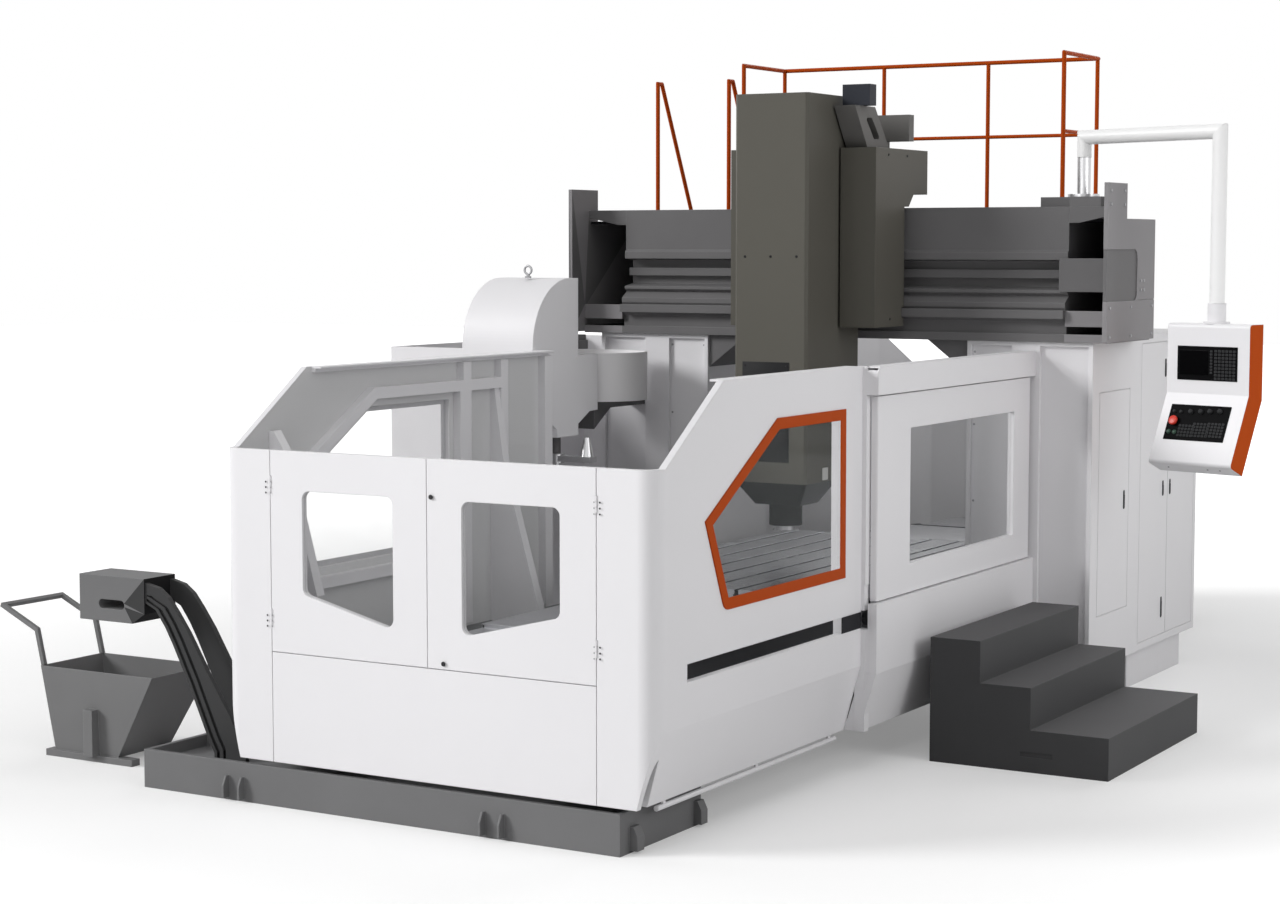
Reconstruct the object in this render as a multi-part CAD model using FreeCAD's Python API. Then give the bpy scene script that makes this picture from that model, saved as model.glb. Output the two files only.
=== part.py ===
import FreeCAD, Part
import math
import os

os.makedirs("parts", exist_ok=True)

# Axes: X across the machine, Y from the front doors to the rear, Z up from the floor.
# The origin is the floor point under the spindle. Lengths are in millimetres.

# Clearances
RUN = 0.3            # running gap between a guide rail and its block
SEAT = 0.3           # gap where a curved face meets another piece
FREE = 8.0           # gap between pieces that pass each other
SHEET = 10.0         # thickness of a plain sheet or flange
LOW = 250.0          # underside of the sheet metal over the floor

# Guard round the working space
GUARD_X = 1390.0     # half width over the side sheets
FRONT_Y = -4150.0    # outer face of the front sheet
BACK_Y = 5070.0      # outer face of the rear sheet
MID_Y = (FRONT_Y + BACK_Y) / 2
PANEL = 40.0         # depth of a folded sheet panel
CORNER_R = 105.0     # radius of the upright corners
FRONT_TOP = 1980.0   # top of the front sheet
SIDE_TOP = 2397.0    # top of the side sheets
WALL = GUARD_X - PANEL
SLOPE_RUN = 610.0    # length over which the side top edge climbs
FOLD_Z = 643.0       # height where the side sheet folds inward
TAPER = 106.0        # how far the side sheet leans in below the fold

# Front doors
DOOR_HALF = GUARD_X - 340.0   # machine centre line to the hinge line
DOOR_SILL = 868.0             # bottom edge of the doors
DOOR_GAP = 4.0                # seam round a door leaf
WIN_IN = 222.0                # inner side of a door window
WIN_OUT = DOOR_HALF - 221.0   # outer side of a door window
WIN_TOP = FRONT_TOP - 215.0
WIN_LOW_OUT = DOOR_SILL + 331.0
WIN_LOW_IN = DOOR_SILL + 183.0
WIN_R = 45.0
KNUCKLE_R = 7.0
PIN_R = 3.5
HINGE_LONG = 90.0
HINGE_Z = [DOOR_SILL + 145.0, FRONT_TOP - 230.0]

# Left and right side windows, corners as Y and Z
FRAME_W = 62.0       # width of the coloured window frame
FRAME_OUT = 7.0      # how far it stands out of the sheet
WIN_Y = FRONT_Y + 510.0
SIDE_WINDOW = [(WIN_Y + 810.0, SIDE_TOP - 234.0), (WIN_Y + 1660.0, SIDE_TOP - 234.0),
               (WIN_Y + 1665.0, FOLD_Z + 545.0), (WIN_Y + 210.0, FOLD_Z + 545.0),
               (WIN_Y, FOLD_Z + 1033.0)]

# Columns and cabinet
COL_IN = 1000.0      # half width of the passage between the columns
COL_OUT = GUARD_X + 500.0
COL_Y0 = 720.0
COL_DEEP = 910.0
COL_Y1 = COL_Y0 + COL_DEEP
COL_RIM = 30.0       # rim round the recessed front panels
COL_RECESS = 25.0
SKIRT = 270.0        # underside of the column covers
FOOT_IN = 80.0       # how far the feet stand back under them
CAB_LONG = 1320.0
CAB_Y1 = COL_Y1 + CAB_LONG
CAB_TOP = 2480.0

# Side doorway and its sliding door
BAY_Y0 = FRONT_Y + 2400.0     # front end of the doorway section
BAY_X = GUARD_X + 100.0       # outer plane of its header
HEADER_LOW = SIDE_TOP - 167.0
LEAF_X = BAY_X - 22.0         # outer plane of the sliding door
LEAF_T = 44.0
LEAF_LOW = 1020.0
LEAF_Y0 = BAY_Y0 + 50.0
LEAF_Y1 = COL_Y0 - 30.0
LEAF_WIN = [LEAF_Y0 + 460.0, LEAF_Y1 - 280.0, LEAF_LOW + 175.0, HEADER_LOW - 220.0]
SLOT_Y0 = FRONT_Y + 330.0     # front end of the guide slot in the right guard
SLOT_Z = 913.0
SLOT_HALF = 47.0
ROLLER_R = 22.0
RAIL_LIFT = 60.0              # hanger rail over the header's lower edge

# Crossbeam, its front profile as depth behind the lip and height over the underside
BEAM_BOTTOM = 2457.0
BEAM_TOP = 3350.0
BEAM_LIP = COL_Y0 - 30.0      # foremost plane of the beam
BEAM_HALF = COL_OUT - 190.0
BEAM_BACK = COL_Y1 - 30.0
BEAM_FRONT = [(0, 0), (0, 54), (35, 54), (35, 133), (10, 153), (10, 213), (0, 227), (0, 259), (70, 303),
              (40, 323), (40, 343), (160, 363), (160, 533), (45, 543), (45, 593), (60, 607), (60, 893)]
HAUNCH = 230.0                # drop of the haunches beside the columns
RAIL_LOW_Z = BEAM_BOTTOM + 155.0
RAIL_HIGH_Z = BEAM_BOTTOM + 0.47 * (BEAM_TOP - BEAM_BOTTOM)
BEAM_RAIL_H = 56.0
PLATE_T = 30.0
PLATE_X = BEAM_HALF + 350.0   # outer face of the beam end plates
PLATE_Y0 = BEAM_LIP - 170.0
PLATE_Y1 = BEAM_LIP + 760.0
TAB_LONG = 360.0
TAB_UP = 150.0
NOTCH_Z = BEAM_BOTTOM + 273.0
NOTCH_H = 340.0
NOTCH_Y1 = PLATE_Y0 + 580.0
NOTCH_R = 60.0

# Saddle, ram and spindle
SADDLE_HALF = 545.0
SADDLE_Y0 = BEAM_LIP - 470.0
SADDLE_Y1 = BEAM_LIP - FREE
SADDLE_Z0 = BEAM_BOTTOM + 90.0
SADDLE_Z1 = BEAM_TOP + 395.0
SADDLE_BACK = BEAM_LIP + 370.0
RAM_HALF = 270.0
RAM_Y0 = -240.0
RAM_Y1 = BEAM_LIP - 150.0
RAM_BEVEL = 18.0
RAM_LOW = 1520.0
RAM_TIP = 1365.0
RAM_TOP = 4090.0
RAM_RAIL_X = 200.0
RAM_RAIL_W = 44.0
RAM_RAIL_H = 34.0
NOSE_R = 112.0
NOSE_Z = 1190.0
SPINDLE_R = 64.0

# Bed, table and the telescopic way covers
TROUGH_W = 540.0
TABLE_HALF = 750.0
TABLE_LONG = 1500.0
TABLE_TOP = 990.0
TABLE_T = 190.0
TSLOTS = 7
TRAVEL = 1000.0
BED_HALF = TABLE_HALF - 150.0
BED_Y0 = FRONT_Y + TROUGH_W
BED_Y1 = 2 * MID_Y - BED_Y0
BED_TOP = TABLE_TOP - 290.0
BED_SHELF = BED_TOP - 160.0
RAIL_X = BED_HALF - 150.0
RAIL_W = 65.0
RAIL_H = 58.0
BLOCK_Y = [-1250.0, -420.0, 420.0, 1250.0]
COVER_T = 6.0
COVER_STEP = 22.0
COVER_SIDE = 12.0
COVER_DEEP = 60.0
COVER_LAP = 40.0
COVER_Z = BED_TOP + RAIL_H + 24.0

# Chip trough, conveyor and cart
TROUGH_X0 = -GUARD_X - 605.0
TROUGH_X1 = GUARD_X - 205.0
TROUGH_H = 220.0
TROUGH_FLOOR = 150.0
TROUGH_ARM = 845.0            # length of its ends beside the bed
CONV_Y0 = FRONT_Y + 250.0
CONV_Y1 = FRONT_Y + 540.0
CONV_SIDE = 32.0
HEAD_X0 = TROUGH_X0 - 710.0
HEAD_X1 = TROUGH_X0 - 205.0
HEAD_Z0 = 887.0
HEAD_Z1 = 1157.0
CART_X0 = HEAD_X0 - 435.0
CART_X1 = HEAD_X1 - 50.0
CART_Y0 = CONV_Y0 + 110.0
CART_Y1 = CONV_Y1 + 360.0
CART_TOP = 550.0
CART_SHEET = 5.0
CART_BASE = 40.0

# Steps
STEP_X0 = BAY_X + 111.0
STEP_TREAD = 320.0
STEP_LAST = 483.0
STEP_Y1 = COL_Y0 - 283.0
STEP_WIDE = 1657.0
STEP_Y0 = STEP_Y1 - STEP_WIDE
STEP_RISE = 252.0

# Platform and railing
DECK_T = 60.0
RAIL_END = 1268.0
RAIL_NEAR = BEAM_BACK + 156.0
RAIL_FAR = RAIL_NEAR + 675.0
RAIL_TOP = BEAM_TOP + 1090.0
RAIL_R = 16.0
RAIL_MID = 545.0
HOOP_X = [-RAIL_END - 747.0, -RAIL_END - 127.0]
DECK_EDGE = 60.0

# Tool magazine
MAG_X1 = -GUARD_X - 40.0      # outer plane of its right side plate
MAG_X0 = MAG_X1 - 570.0
MAG_REAR = COL_Y0 - 813.0
MAG_MID = MAG_REAR - 254.0
MAG_FRONT = COL_Y0 - 1640.0
MAG_R = 465.0
MAG_TOP = 2872.0
MAG_SHOULDER = MAG_TOP - 530.0
MAG_LOW = MAG_TOP - 932.0
MAG_FUNNEL = MAG_LOW - 150.0
DRUM_X = MAG_X1 - 180.0
DRUM_R = 330.0
DRUM_Y = MAG_REAR + FREE + 5.0 + DRUM_R
DRUM_Z = MAG_SHOULDER - 340.0
DRUM_H = 340.0
AXLE_R = 40.0
ARM_PIVOT_X = MAG_X1 - 150.0
ARM_PIVOT_Y = MAG_MID - 50.0
ARM_HALF = 300.0
ARM_PLATE_Z = MAG_FUNNEL - 190.0

# Pendant arm and pendant
BASE_BOX = 65.0               # height of the box under the arm post
ARM_X = PLATE_X - 364.0
ARM_Y = BEAM_LIP + 360.0
POST_TOP = BEAM_TOP + 330.0
ARM_Z = POST_TOP + 133.0
ARM_R = 48.0
ARM_SWING = 21.9
ARM_LONG = 1136.0
PENDANT_YAW = 16.0
PENDANT_W = 606.0
PENDANT_D = 150.0
PENDANT_TOP = ARM_Z - 1213.0
PENDANT_KNEE = PENDANT_TOP - 445.0
PENDANT_LOW = PENDANT_KNEE - 438.0
PENDANT_OUT = 195.0           # how far the lower half leans out to the operator
PENDANT_FACE = 90.0           # front of the upper half before the arm's axis
CHEEK = 12.0                  # thickness of the coloured side cheeks
COLLAR_R = 58.0
COLLAR_H = 130.0


def vec(x, y, z):
    return FreeCAD.Vector(x, y, z)


UP = vec(0, 0, 1)


def box(x0, x1, y0, y1, z0, z1):
    return Part.makeBox(x1 - x0, y1 - y0, z1 - z0, vec(x0, y0, z0))


def prism_x(points, x0, x1):
    """Solid from a Y and Z outline, drawn out along X."""
    wire = Part.makePolygon([vec(x0, y, z) for y, z in points + points[:1]])
    return Part.Face(wire).extrude(vec(x1 - x0, 0, 0))


def prism_y(points, y0, y1):
    """Solid from an X and Z outline, drawn out along Y."""
    wire = Part.makePolygon([vec(x, y0, z) for x, z in points + points[:1]])
    return Part.Face(wire).extrude(vec(0, y1 - y0, 0))


def prism_z(points, z0, z1):
    """Solid from an X and Y outline, drawn out along Z."""
    wire = Part.makePolygon([vec(x, y, z0) for x, y in points + points[:1]])
    return Part.Face(wire).extrude(vec(0, 0, z1 - z0))


def rod(x, y, z, r, length, axis=UP):
    return Part.makeCylinder(r, length, vec(x, y, z), axis)


def bar_path(points, r, sides):
    """Bar of an even-sided section along straight runs, with mitred bends."""
    spine = Part.makePolygon([vec(*p) for p in points])
    run = spine.Edges[0].tangentAt(0)
    across = run.cross(UP) if abs(run.z) < 0.9 else vec(0, 1, 0)
    across.normalize()
    over = run.cross(across)
    turns = [2 * math.pi * (i + 0.5) / sides for i in range(sides)]
    ring = [vec(*points[0]) + across * (r * math.cos(t)) + over * (r * math.sin(t)) for t in turns]
    return Part.Solid(spine.makePipeShell([Part.makePolygon(ring + ring[:1])], True, False, 1))


def square_path(points, half):
    return bar_path(points, half * math.sqrt(2.0), 4)


def tube_path(points, r):
    """Round bar along straight runs, with mitred bends."""
    spine = Part.makePolygon(points)
    circle = Part.Wire(Part.makeCircle(r, points[0], points[1].sub(points[0])))
    return Part.Solid(spine.makePipeShell([circle], True, False, 1))


def loft(lower, upper):
    """Solid with flat sides between two level outlines, each a list of corners."""
    low, high = [[vec(*p) for p in ring] for ring in (lower, upper)]
    rings = [low, high] + [[low[i - 1], low[i], high[i], high[i - 1]] for i in range(len(low))]
    solid = Part.Solid(Part.Shell([Part.Face(Part.makePolygon(ring + ring[:1])) for ring in rings]))
    return solid if solid.Volume > 0 else solid.reversed()


def round_edges(solid, r, keep):
    return solid.makeFillet(r, [e for e in solid.Edges if keep(e)])


def along(axis):
    """Test for straight edges that run along one axis."""
    def test(edge):
        a, b = edge.Vertexes[0].Point, edge.Vertexes[-1].Point
        d = b.sub(a)
        size = {"x": abs(d.x), "y": abs(d.y), "z": abs(d.z)}
        return size[axis] > 0.99 * d.Length > 0
    return test


def mirror_x(shape):
    return shape.mirror(vec(0, 0, 0), vec(1, 0, 0))


def mirror_y(shape):
    return shape.mirror(vec(0, MID_Y, 0), vec(0, 1, 0))


def join(shapes):
    solid = shapes[0]
    for other in shapes[1:]:
        solid = solid.fuse(other)
    return solid.removeSplitter()


def save(name, *shapes):
    solids = [s for shape in shapes for s in shape.Solids]
    whole = solids[0] if len(solids) == 1 else Part.makeCompound(solids)
    whole.exportStep("parts/%s.step" % name)


def inset(points, d):
    """Outline moved inward by d, for a convex outline."""
    n = len(points)
    area = sum(points[i][0] * points[(i + 1) % n][1] - points[(i + 1) % n][0] * points[i][1] for i in range(n))
    side = 1.0 if area > 0 else -1.0
    lines = []
    for i in range(n):
        (ax, ay), (bx, by) = points[i], points[(i + 1) % n]
        length = math.hypot(bx - ax, by - ay)
        nx, ny = -(by - ay) / length * side, (bx - ax) / length * side
        lines.append((ax + nx * d, ay + ny * d, bx - ax, by - ay))
    result = []
    for i in range(n):
        ax, ay, ux, uy = lines[i - 1]
        bx, by, vx, vy = lines[i]
        t = ((bx - ax) * vy - (by - ay) * vx) / (ux * vy - uy * vx)
        result.append((ax + ux * t, ay + uy * t))
    return result


# Bed: a wide base with two raised ways, and the ground rails on them
bed = join([box(-BED_HALF, BED_HALF, BED_Y0, BED_Y1, 0, BED_SHELF),
            box(-RAIL_X - 90, -RAIL_X + 90, BED_Y0, BED_Y1, BED_SHELF, BED_TOP),
            box(RAIL_X - 90, RAIL_X + 90, BED_Y0, BED_Y1, BED_SHELF, BED_TOP)])
save("bed", bed)
save("bed_rails", *[box(s * RAIL_X - RAIL_W / 2, s * RAIL_X + RAIL_W / 2, BED_Y0 + COVER_T, BED_Y1 - COVER_T,
                        BED_TOP, BED_TOP + RAIL_H) for s in (-1, 1)])

# Table with T-slots and guide blocks
under = TABLE_TOP - TABLE_T
table = box(-TABLE_HALF, TABLE_HALF, -TABLE_LONG, TABLE_LONG, under, TABLE_TOP)
pitch = 2 * TABLE_HALF / TSLOTS
for i in range(TSLOTS):
    x = -TABLE_HALF + pitch * (i + 0.5)
    neck = box(x - 14, x + 14, -TABLE_LONG - 1, TABLE_LONG + 1, TABLE_TOP - 30, TABLE_TOP + 1)
    foot = box(x - 23, x + 23, -TABLE_LONG - 1, TABLE_LONG + 1, TABLE_TOP - 48, TABLE_TOP - 28)
    table = table.cut(neck).cut(foot)
save("table", table)
blocks = []
for sx in (-1, 1):
    for share in (-0.83, -0.28, 0.28, 0.83):
        x, y = sx * RAIL_X, share * TABLE_LONG
        block = box(x - 70, x + 70, y - 110, y + 110, BED_TOP + 18, under)
        groove = box(x - RAIL_W / 2 - RUN, x + RAIL_W / 2 + RUN, y - 111, y + 111,
                     BED_TOP, BED_TOP + RAIL_H + RUN)
        blocks.append(block.cut(groove))
save("table_blocks", *blocks)


# Telescopic covers: each larger sheet box rides on the smaller one by the lip at its far end
def way_cover(y0, y1, step, lip_low):
    """Sheet box open below; the lip reaches down to lip_low at the end y0."""
    z = COVER_Z + step * COVER_STEP
    half = TABLE_HALF - 40 + step * COVER_SIDE
    far, near = min(y0, y1), max(y0, y1)
    shell = box(-half, half, far, near, z - COVER_DEEP, z + COVER_T)
    shell = shell.cut(box(-half + COVER_T, half - COVER_T, far - 1, near + 1, z - COVER_DEEP - 1, z))
    lip = sorted([y0, y0 + math.copysign(COVER_T, y1 - y0)])
    inner = half - COVER_T - COVER_SIDE
    return shell.fuse(box(-half + COVER_T, half - COVER_T, lip[0], lip[1], lip_low, z)
                      if step == 0 else box(-inner, inner, lip[0], lip[1], lip_low, z)).removeSplitter()


def cover_set(bed_end, table_end):
    """Fixed, middle and moving cover between one bed end and one table end."""
    span = abs(table_end - bed_end)
    way = math.copysign(1.0, table_end - bed_end)
    long = (span + TRAVEL + 2 * COVER_LAP) / 3
    top = [COVER_Z + step * COVER_STEP + COVER_T for step in (0, 1)]
    middle = (bed_end + table_end) / 2
    return [way_cover(bed_end, bed_end + way * long, 0, BED_TOP),
            way_cover(middle - way * long / 2, middle + way * long / 2, 1, top[0] + RUN),
            way_cover(table_end - way * long, table_end, 2, top[1] + RUN)]


front_set = cover_set(BED_Y0, -TABLE_LONG)
rear_set = cover_set(BED_Y1, TABLE_LONG)
save("way_covers_fixed", front_set[0], rear_set[0])
save("front_cover_middle", front_set[1])
save("rear_cover_middle", rear_set[1])
save("way_covers_moving", front_set[2], rear_set[2])

# Columns: sheet covers over castings, on recessed feet, with framed panels on the front
right_column = join([box(COL_IN, COL_OUT, COL_Y0, COL_Y1, SKIRT, BEAM_BOTTOM),
                     box(COL_IN + FOOT_IN, COL_OUT - FOOT_IN, COL_Y0 + FOOT_IN, COL_Y1 - FOOT_IN, 0, SKIRT)])
for x0, x1 in ((COL_IN, WALL), (BAY_X, COL_OUT)):
    right_column = right_column.cut(box(x0 + COL_RIM, x1 - COL_RIM, COL_Y0 - 1, COL_Y0 + COL_RECESS,
                                        SKIRT + COL_RIM, BEAM_BOTTOM - COL_RIM))
DOOR_Y0 = COL_Y0 + 135
DOOR_Y1 = COL_Y0 + 740
seam = box(COL_OUT - 6, COL_OUT + 1, DOOR_Y0, DOOR_Y1, SKIRT + 347, SKIRT + 1853)
seam = seam.cut(box(COL_OUT - 7, COL_OUT + 2, DOOR_Y0 + 6, DOOR_Y1 - 6, SKIRT + 353, SKIRT + 1847))
save("right_column", right_column.cut(seam))
save("left_column", mirror_x(right_column))
cabinet = join([box(COL_IN + 60, COL_OUT, COL_Y1, CAB_Y1, SKIRT, CAB_TOP),
                box(COL_IN + 120, COL_OUT - FOOT_IN, COL_Y1 + FOOT_IN, CAB_Y1 - FOOT_IN, 0, SKIRT)])
half_door = (CAB_LONG - 120) / 2
for y in (COL_Y1 + 60, COL_Y1 + 60 + half_door):
    ring = box(COL_OUT - 6, COL_OUT + 1, y, y + half_door, SKIRT + 50, CAB_TOP - 60)
    ring = ring.cut(box(COL_OUT - 7, COL_OUT + 2, y + 6, y + half_door - 6, SKIRT + 56, CAB_TOP - 66))
    cabinet = cabinet.cut(ring)
save("control_cabinet", cabinet)

# Crossbeam with haunches down to the columns, and its guide rails
profile = [(BEAM_LIP + dy, BEAM_BOTTOM + dz * (BEAM_TOP - BEAM_BOTTOM) / 893.0) for dy, dz in BEAM_FRONT]
profile += [(BEAM_BACK, BEAM_TOP), (BEAM_BACK, BEAM_BOTTOM)]
beam = prism_x(profile, -BEAM_HALF, BEAM_HALF)
haunch = prism_y([(COL_IN, BEAM_BOTTOM), (COL_IN - 300, BEAM_BOTTOM), (COL_IN, BEAM_BOTTOM - HAUNCH)],
                 COL_Y0 + 20, BEAM_BACK)
save("crossbeam", join([beam, haunch, mirror_x(haunch)]))
low_y = BEAM_LIP + 10
high_y = BEAM_LIP + 160
save("beam_rails",
     box(-BEAM_HALF, BEAM_HALF, low_y - 45, low_y, RAIL_LOW_Z, RAIL_LOW_Z + BEAM_RAIL_H),
     box(-BEAM_HALF, BEAM_HALF, high_y - 50, high_y, RAIL_HIGH_Z, RAIL_HIGH_Z + BEAM_RAIL_H))

# Beam ends: an end plate, roof, floor lip and back round an open bay; the cross drive fills the right one
ROOF_Z = BEAM_TOP - 80
bay_end = PLATE_X - PLATE_T
brow = prism_y([(BEAM_HALF, BEAM_TOP - 107), (BEAM_HALF + 70, BEAM_TOP - 107), (bay_end, BEAM_TOP - 53),
                (bay_end, BEAM_TOP), (BEAM_HALF, BEAM_TOP)], BEAM_LIP + 60, BEAM_LIP + 90)
end = join([box(bay_end, PLATE_X, PLATE_Y0, PLATE_Y1, BEAM_BOTTOM + 9, ROOF_Z),
            box(bay_end, PLATE_X, PLATE_Y0, PLATE_Y0 + TAB_LONG, ROOF_Z, BEAM_TOP + TAB_UP),
            box(BEAM_HALF, bay_end, BEAM_LIP + 89, PLATE_Y1, ROOF_Z - 20, ROOF_Z),
            box(BEAM_HALF, bay_end, BEAM_LIP, PLATE_Y1, BEAM_BOTTOM, BEAM_BOTTOM + 54),
            box(BEAM_HALF, bay_end, PLATE_Y1 - 30, PLATE_Y1, BEAM_BOTTOM + 54, ROOF_Z - 20),
            box(BEAM_HALF, bay_end, BEAM_LIP + 5, BEAM_LIP + 30, BEAM_BOTTOM + 104, BEAM_BOTTOM + 208), brow])
notch = box(bay_end - 1, PLATE_X + 1, PLATE_Y0 - 200, NOTCH_Y1, NOTCH_Z, NOTCH_Z + NOTCH_H)
notch = round_edges(notch, NOTCH_R, lambda e: along("x")(e) and e.Vertexes[0].Y > NOTCH_Y1 - 1)
seam = box(PLATE_X - 4, PLATE_X + 1, NOTCH_Y1, PLATE_Y1 + 1, NOTCH_Z, NOTCH_Z + 5)
drive = box(BEAM_HALF, bay_end, BEAM_LIP + 28, PLATE_Y1 - 30, NOTCH_Z + 60, NOTCH_Z + 280)
tongue = box(BEAM_HALF - 54, BEAM_HALF, BEAM_LIP + 28, BEAM_LIP + 40, NOTCH_Z + 60, NOTCH_Z + 280)
cover = notch.common(box(bay_end - 1, PLATE_X - 8, PLATE_Y0 + 6, NOTCH_Y1 + 1, NOTCH_Z, NOTCH_Z + NOTCH_H + 1))
right_end = join([end.cut(notch).cut(seam), drive, tongue, cover])
save("beam_ends", right_end, mirror_x(end))

# Saddle: a channel for the ram in front, guide shoes for the beam rails behind, and the feed motor
saddle = box(-SADDLE_HALF, SADDLE_HALF, SADDLE_Y0, SADDLE_Y1, SADDLE_Z0, SADDLE_Z1)
CHANNEL_Y = RAM_Y1 + 70
saddle = saddle.cut(box(-RAM_HALF - 15, RAM_HALF + 15, SADDLE_Y0 - 1, CHANNEL_Y, SADDLE_Z0 - 1, SADDLE_Z1 + 1))
hood = prism_x([(SADDLE_Y1, BEAM_TOP + FREE), (BEAM_LIP + 63, BEAM_TOP + FREE), (BEAM_LIP + 144, BEAM_TOP + 95),
                (SADDLE_BACK, BEAM_TOP + 95), (SADDLE_BACK, SADDLE_Z1), (SADDLE_Y1, SADDLE_Z1)],
               -SADDLE_HALF, SADDLE_HALF)
saddle = saddle.cut(box(-SADDLE_HALF - 1, SADDLE_HALF + 1, low_y - 45 - FREE, low_y, RAIL_LOW_Z - FREE,
                        RAIL_LOW_Z + BEAM_RAIL_H + FREE))
shoes = []
for x in (-SADDLE_HALF + 195, SADDLE_HALF - 195):
    for z, face, deep, reach in ((RAIL_LOW_Z, low_y, 45, 18), (RAIL_HIGH_Z, high_y, 50, 8)):
        shoe = box(x - 110, x + 110, SADDLE_Y1 - 60, face - reach, z - 30, z + BEAM_RAIL_H + 30)
        shoes.append(shoe.cut(box(x - 111, x + 111, face - deep - RUN, face + 1, z - RUN, z + BEAM_RAIL_H + RUN)))
for x in (-RAM_RAIL_X, RAM_RAIL_X):
    for z in (SADDLE_Z0 + 140, SADDLE_Z1 - 340):
        shoe = box(x - 60, x + 60, RAM_Y1 + FREE, CHANNEL_Y + 1, z, z + 200)
        shoes.append(shoe.cut(box(x - RAM_RAIL_W / 2 - RUN, x + RAM_RAIL_W / 2 + RUN, RAM_Y1,
                                  RAM_Y1 + RAM_RAIL_H + RUN, z - 1, z + 201)))
MOTOR_X = RAM_HALF + 15.0
stand_top = SADDLE_Z1 + 275
stand = prism_x([(SADDLE_Y0 + 88, SADDLE_Z1), (SADDLE_Y0 + 437, SADDLE_Z1), (SADDLE_Y0 + 204, stand_top),
                 (SADDLE_Y0 - 110, stand_top)], MOTOR_X, MOTOR_X + 155)
window = prism_x([(SADDLE_Y0 + 190, SADDLE_Z1 + 60), (SADDLE_Y0 + 290, SADDLE_Z1 + 60),
                  (SADDLE_Y0 + 155, SADDLE_Z1 + 200), (SADDLE_Y0 + 55, SADDLE_Z1 + 200)],
                 MOTOR_X + 60, MOTOR_X + 156)
window = round_edges(window, 15.0, along("x"))
motor = box(MOTOR_X + 25, MOTOR_X + 225, SADDLE_Y0 - 30, SADDLE_Y0 + 70, stand_top, stand_top + 140)
terminal = box(RAM_HALF + 10, RAM_HALF + 250, SADDLE_BACK - 260, SADDLE_BACK - 180, SADDLE_Z1 + 60, SADDLE_Z1 + 240)
foot = box(RAM_HALF + 10, RAM_HALF + 70, SADDLE_BACK - 260, SADDLE_BACK - 180, SADDLE_Z1, SADDLE_Z1 + 61)
save("saddle", join([saddle, hood, stand.cut(window), motor, terminal, foot] + shoes))


# Ram: bevelled cover box, tapered tip, round nose with the spindle bore, rails on its back
def ram_ring(half, y0, y1, bevel, z):
    return [(-half, y0 + bevel, z), (-half + bevel, y0, z), (half - bevel, y0, z), (half, y0 + bevel, z),
            (half, y1, z), (-half, y1, z)]


whole_ring = ram_ring(RAM_HALF, RAM_Y0, RAM_Y1, RAM_BEVEL, RAM_LOW)
top_ring = ram_ring(RAM_HALF, RAM_Y0, -RAM_Y0, RAM_BEVEL, RAM_LOW)
tip_ring = ram_ring(RAM_HALF - 100, RAM_Y0 + 100, -RAM_Y0 - 100, RAM_BEVEL, RAM_TIP)
ram = join([prism_z([p[:2] for p in whole_ring], RAM_LOW, RAM_TOP), loft(tip_ring, top_ring)])
ram = ram.fuse(rod(0, 0, NOSE_Z + 30, NOSE_R, RAM_TIP - NOSE_Z - 25))
ram = ram.cut(rod(0, 0, NOSE_Z, SPINDLE_R + SEAT, 220))
save("ram", ram)
save("ram_rails", *[box(s * RAM_RAIL_X - RAM_RAIL_W / 2, s * RAM_RAIL_X + RAM_RAIL_W / 2, RAM_Y1,
                        RAM_Y1 + RAM_RAIL_H, RAM_LOW + 60, RAM_TOP - 60) for s in (-1, 1)])
taper = Part.makeCone(35, 20, 100, vec(0, 0, NOSE_Z - 0.01), UP)
save("spindle", rod(0, 0, NOSE_Z, SPINDLE_R, 200).cut(taper))

# Front sill panel: a seam shows at each side of its face, and it sits between the guards behind
sill = join([box(-DOOR_HALF + DOOR_GAP, DOOR_HALF - DOOR_GAP, FRONT_Y, FRONT_Y + 20, LOW, DOOR_SILL - DOOR_GAP),
             box(-DOOR_HALF, DOOR_HALF, FRONT_Y + 20, FRONT_Y + PANEL, LOW, DOOR_SILL - DOOR_GAP)])
save("front_sill_panel", sill)


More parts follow.
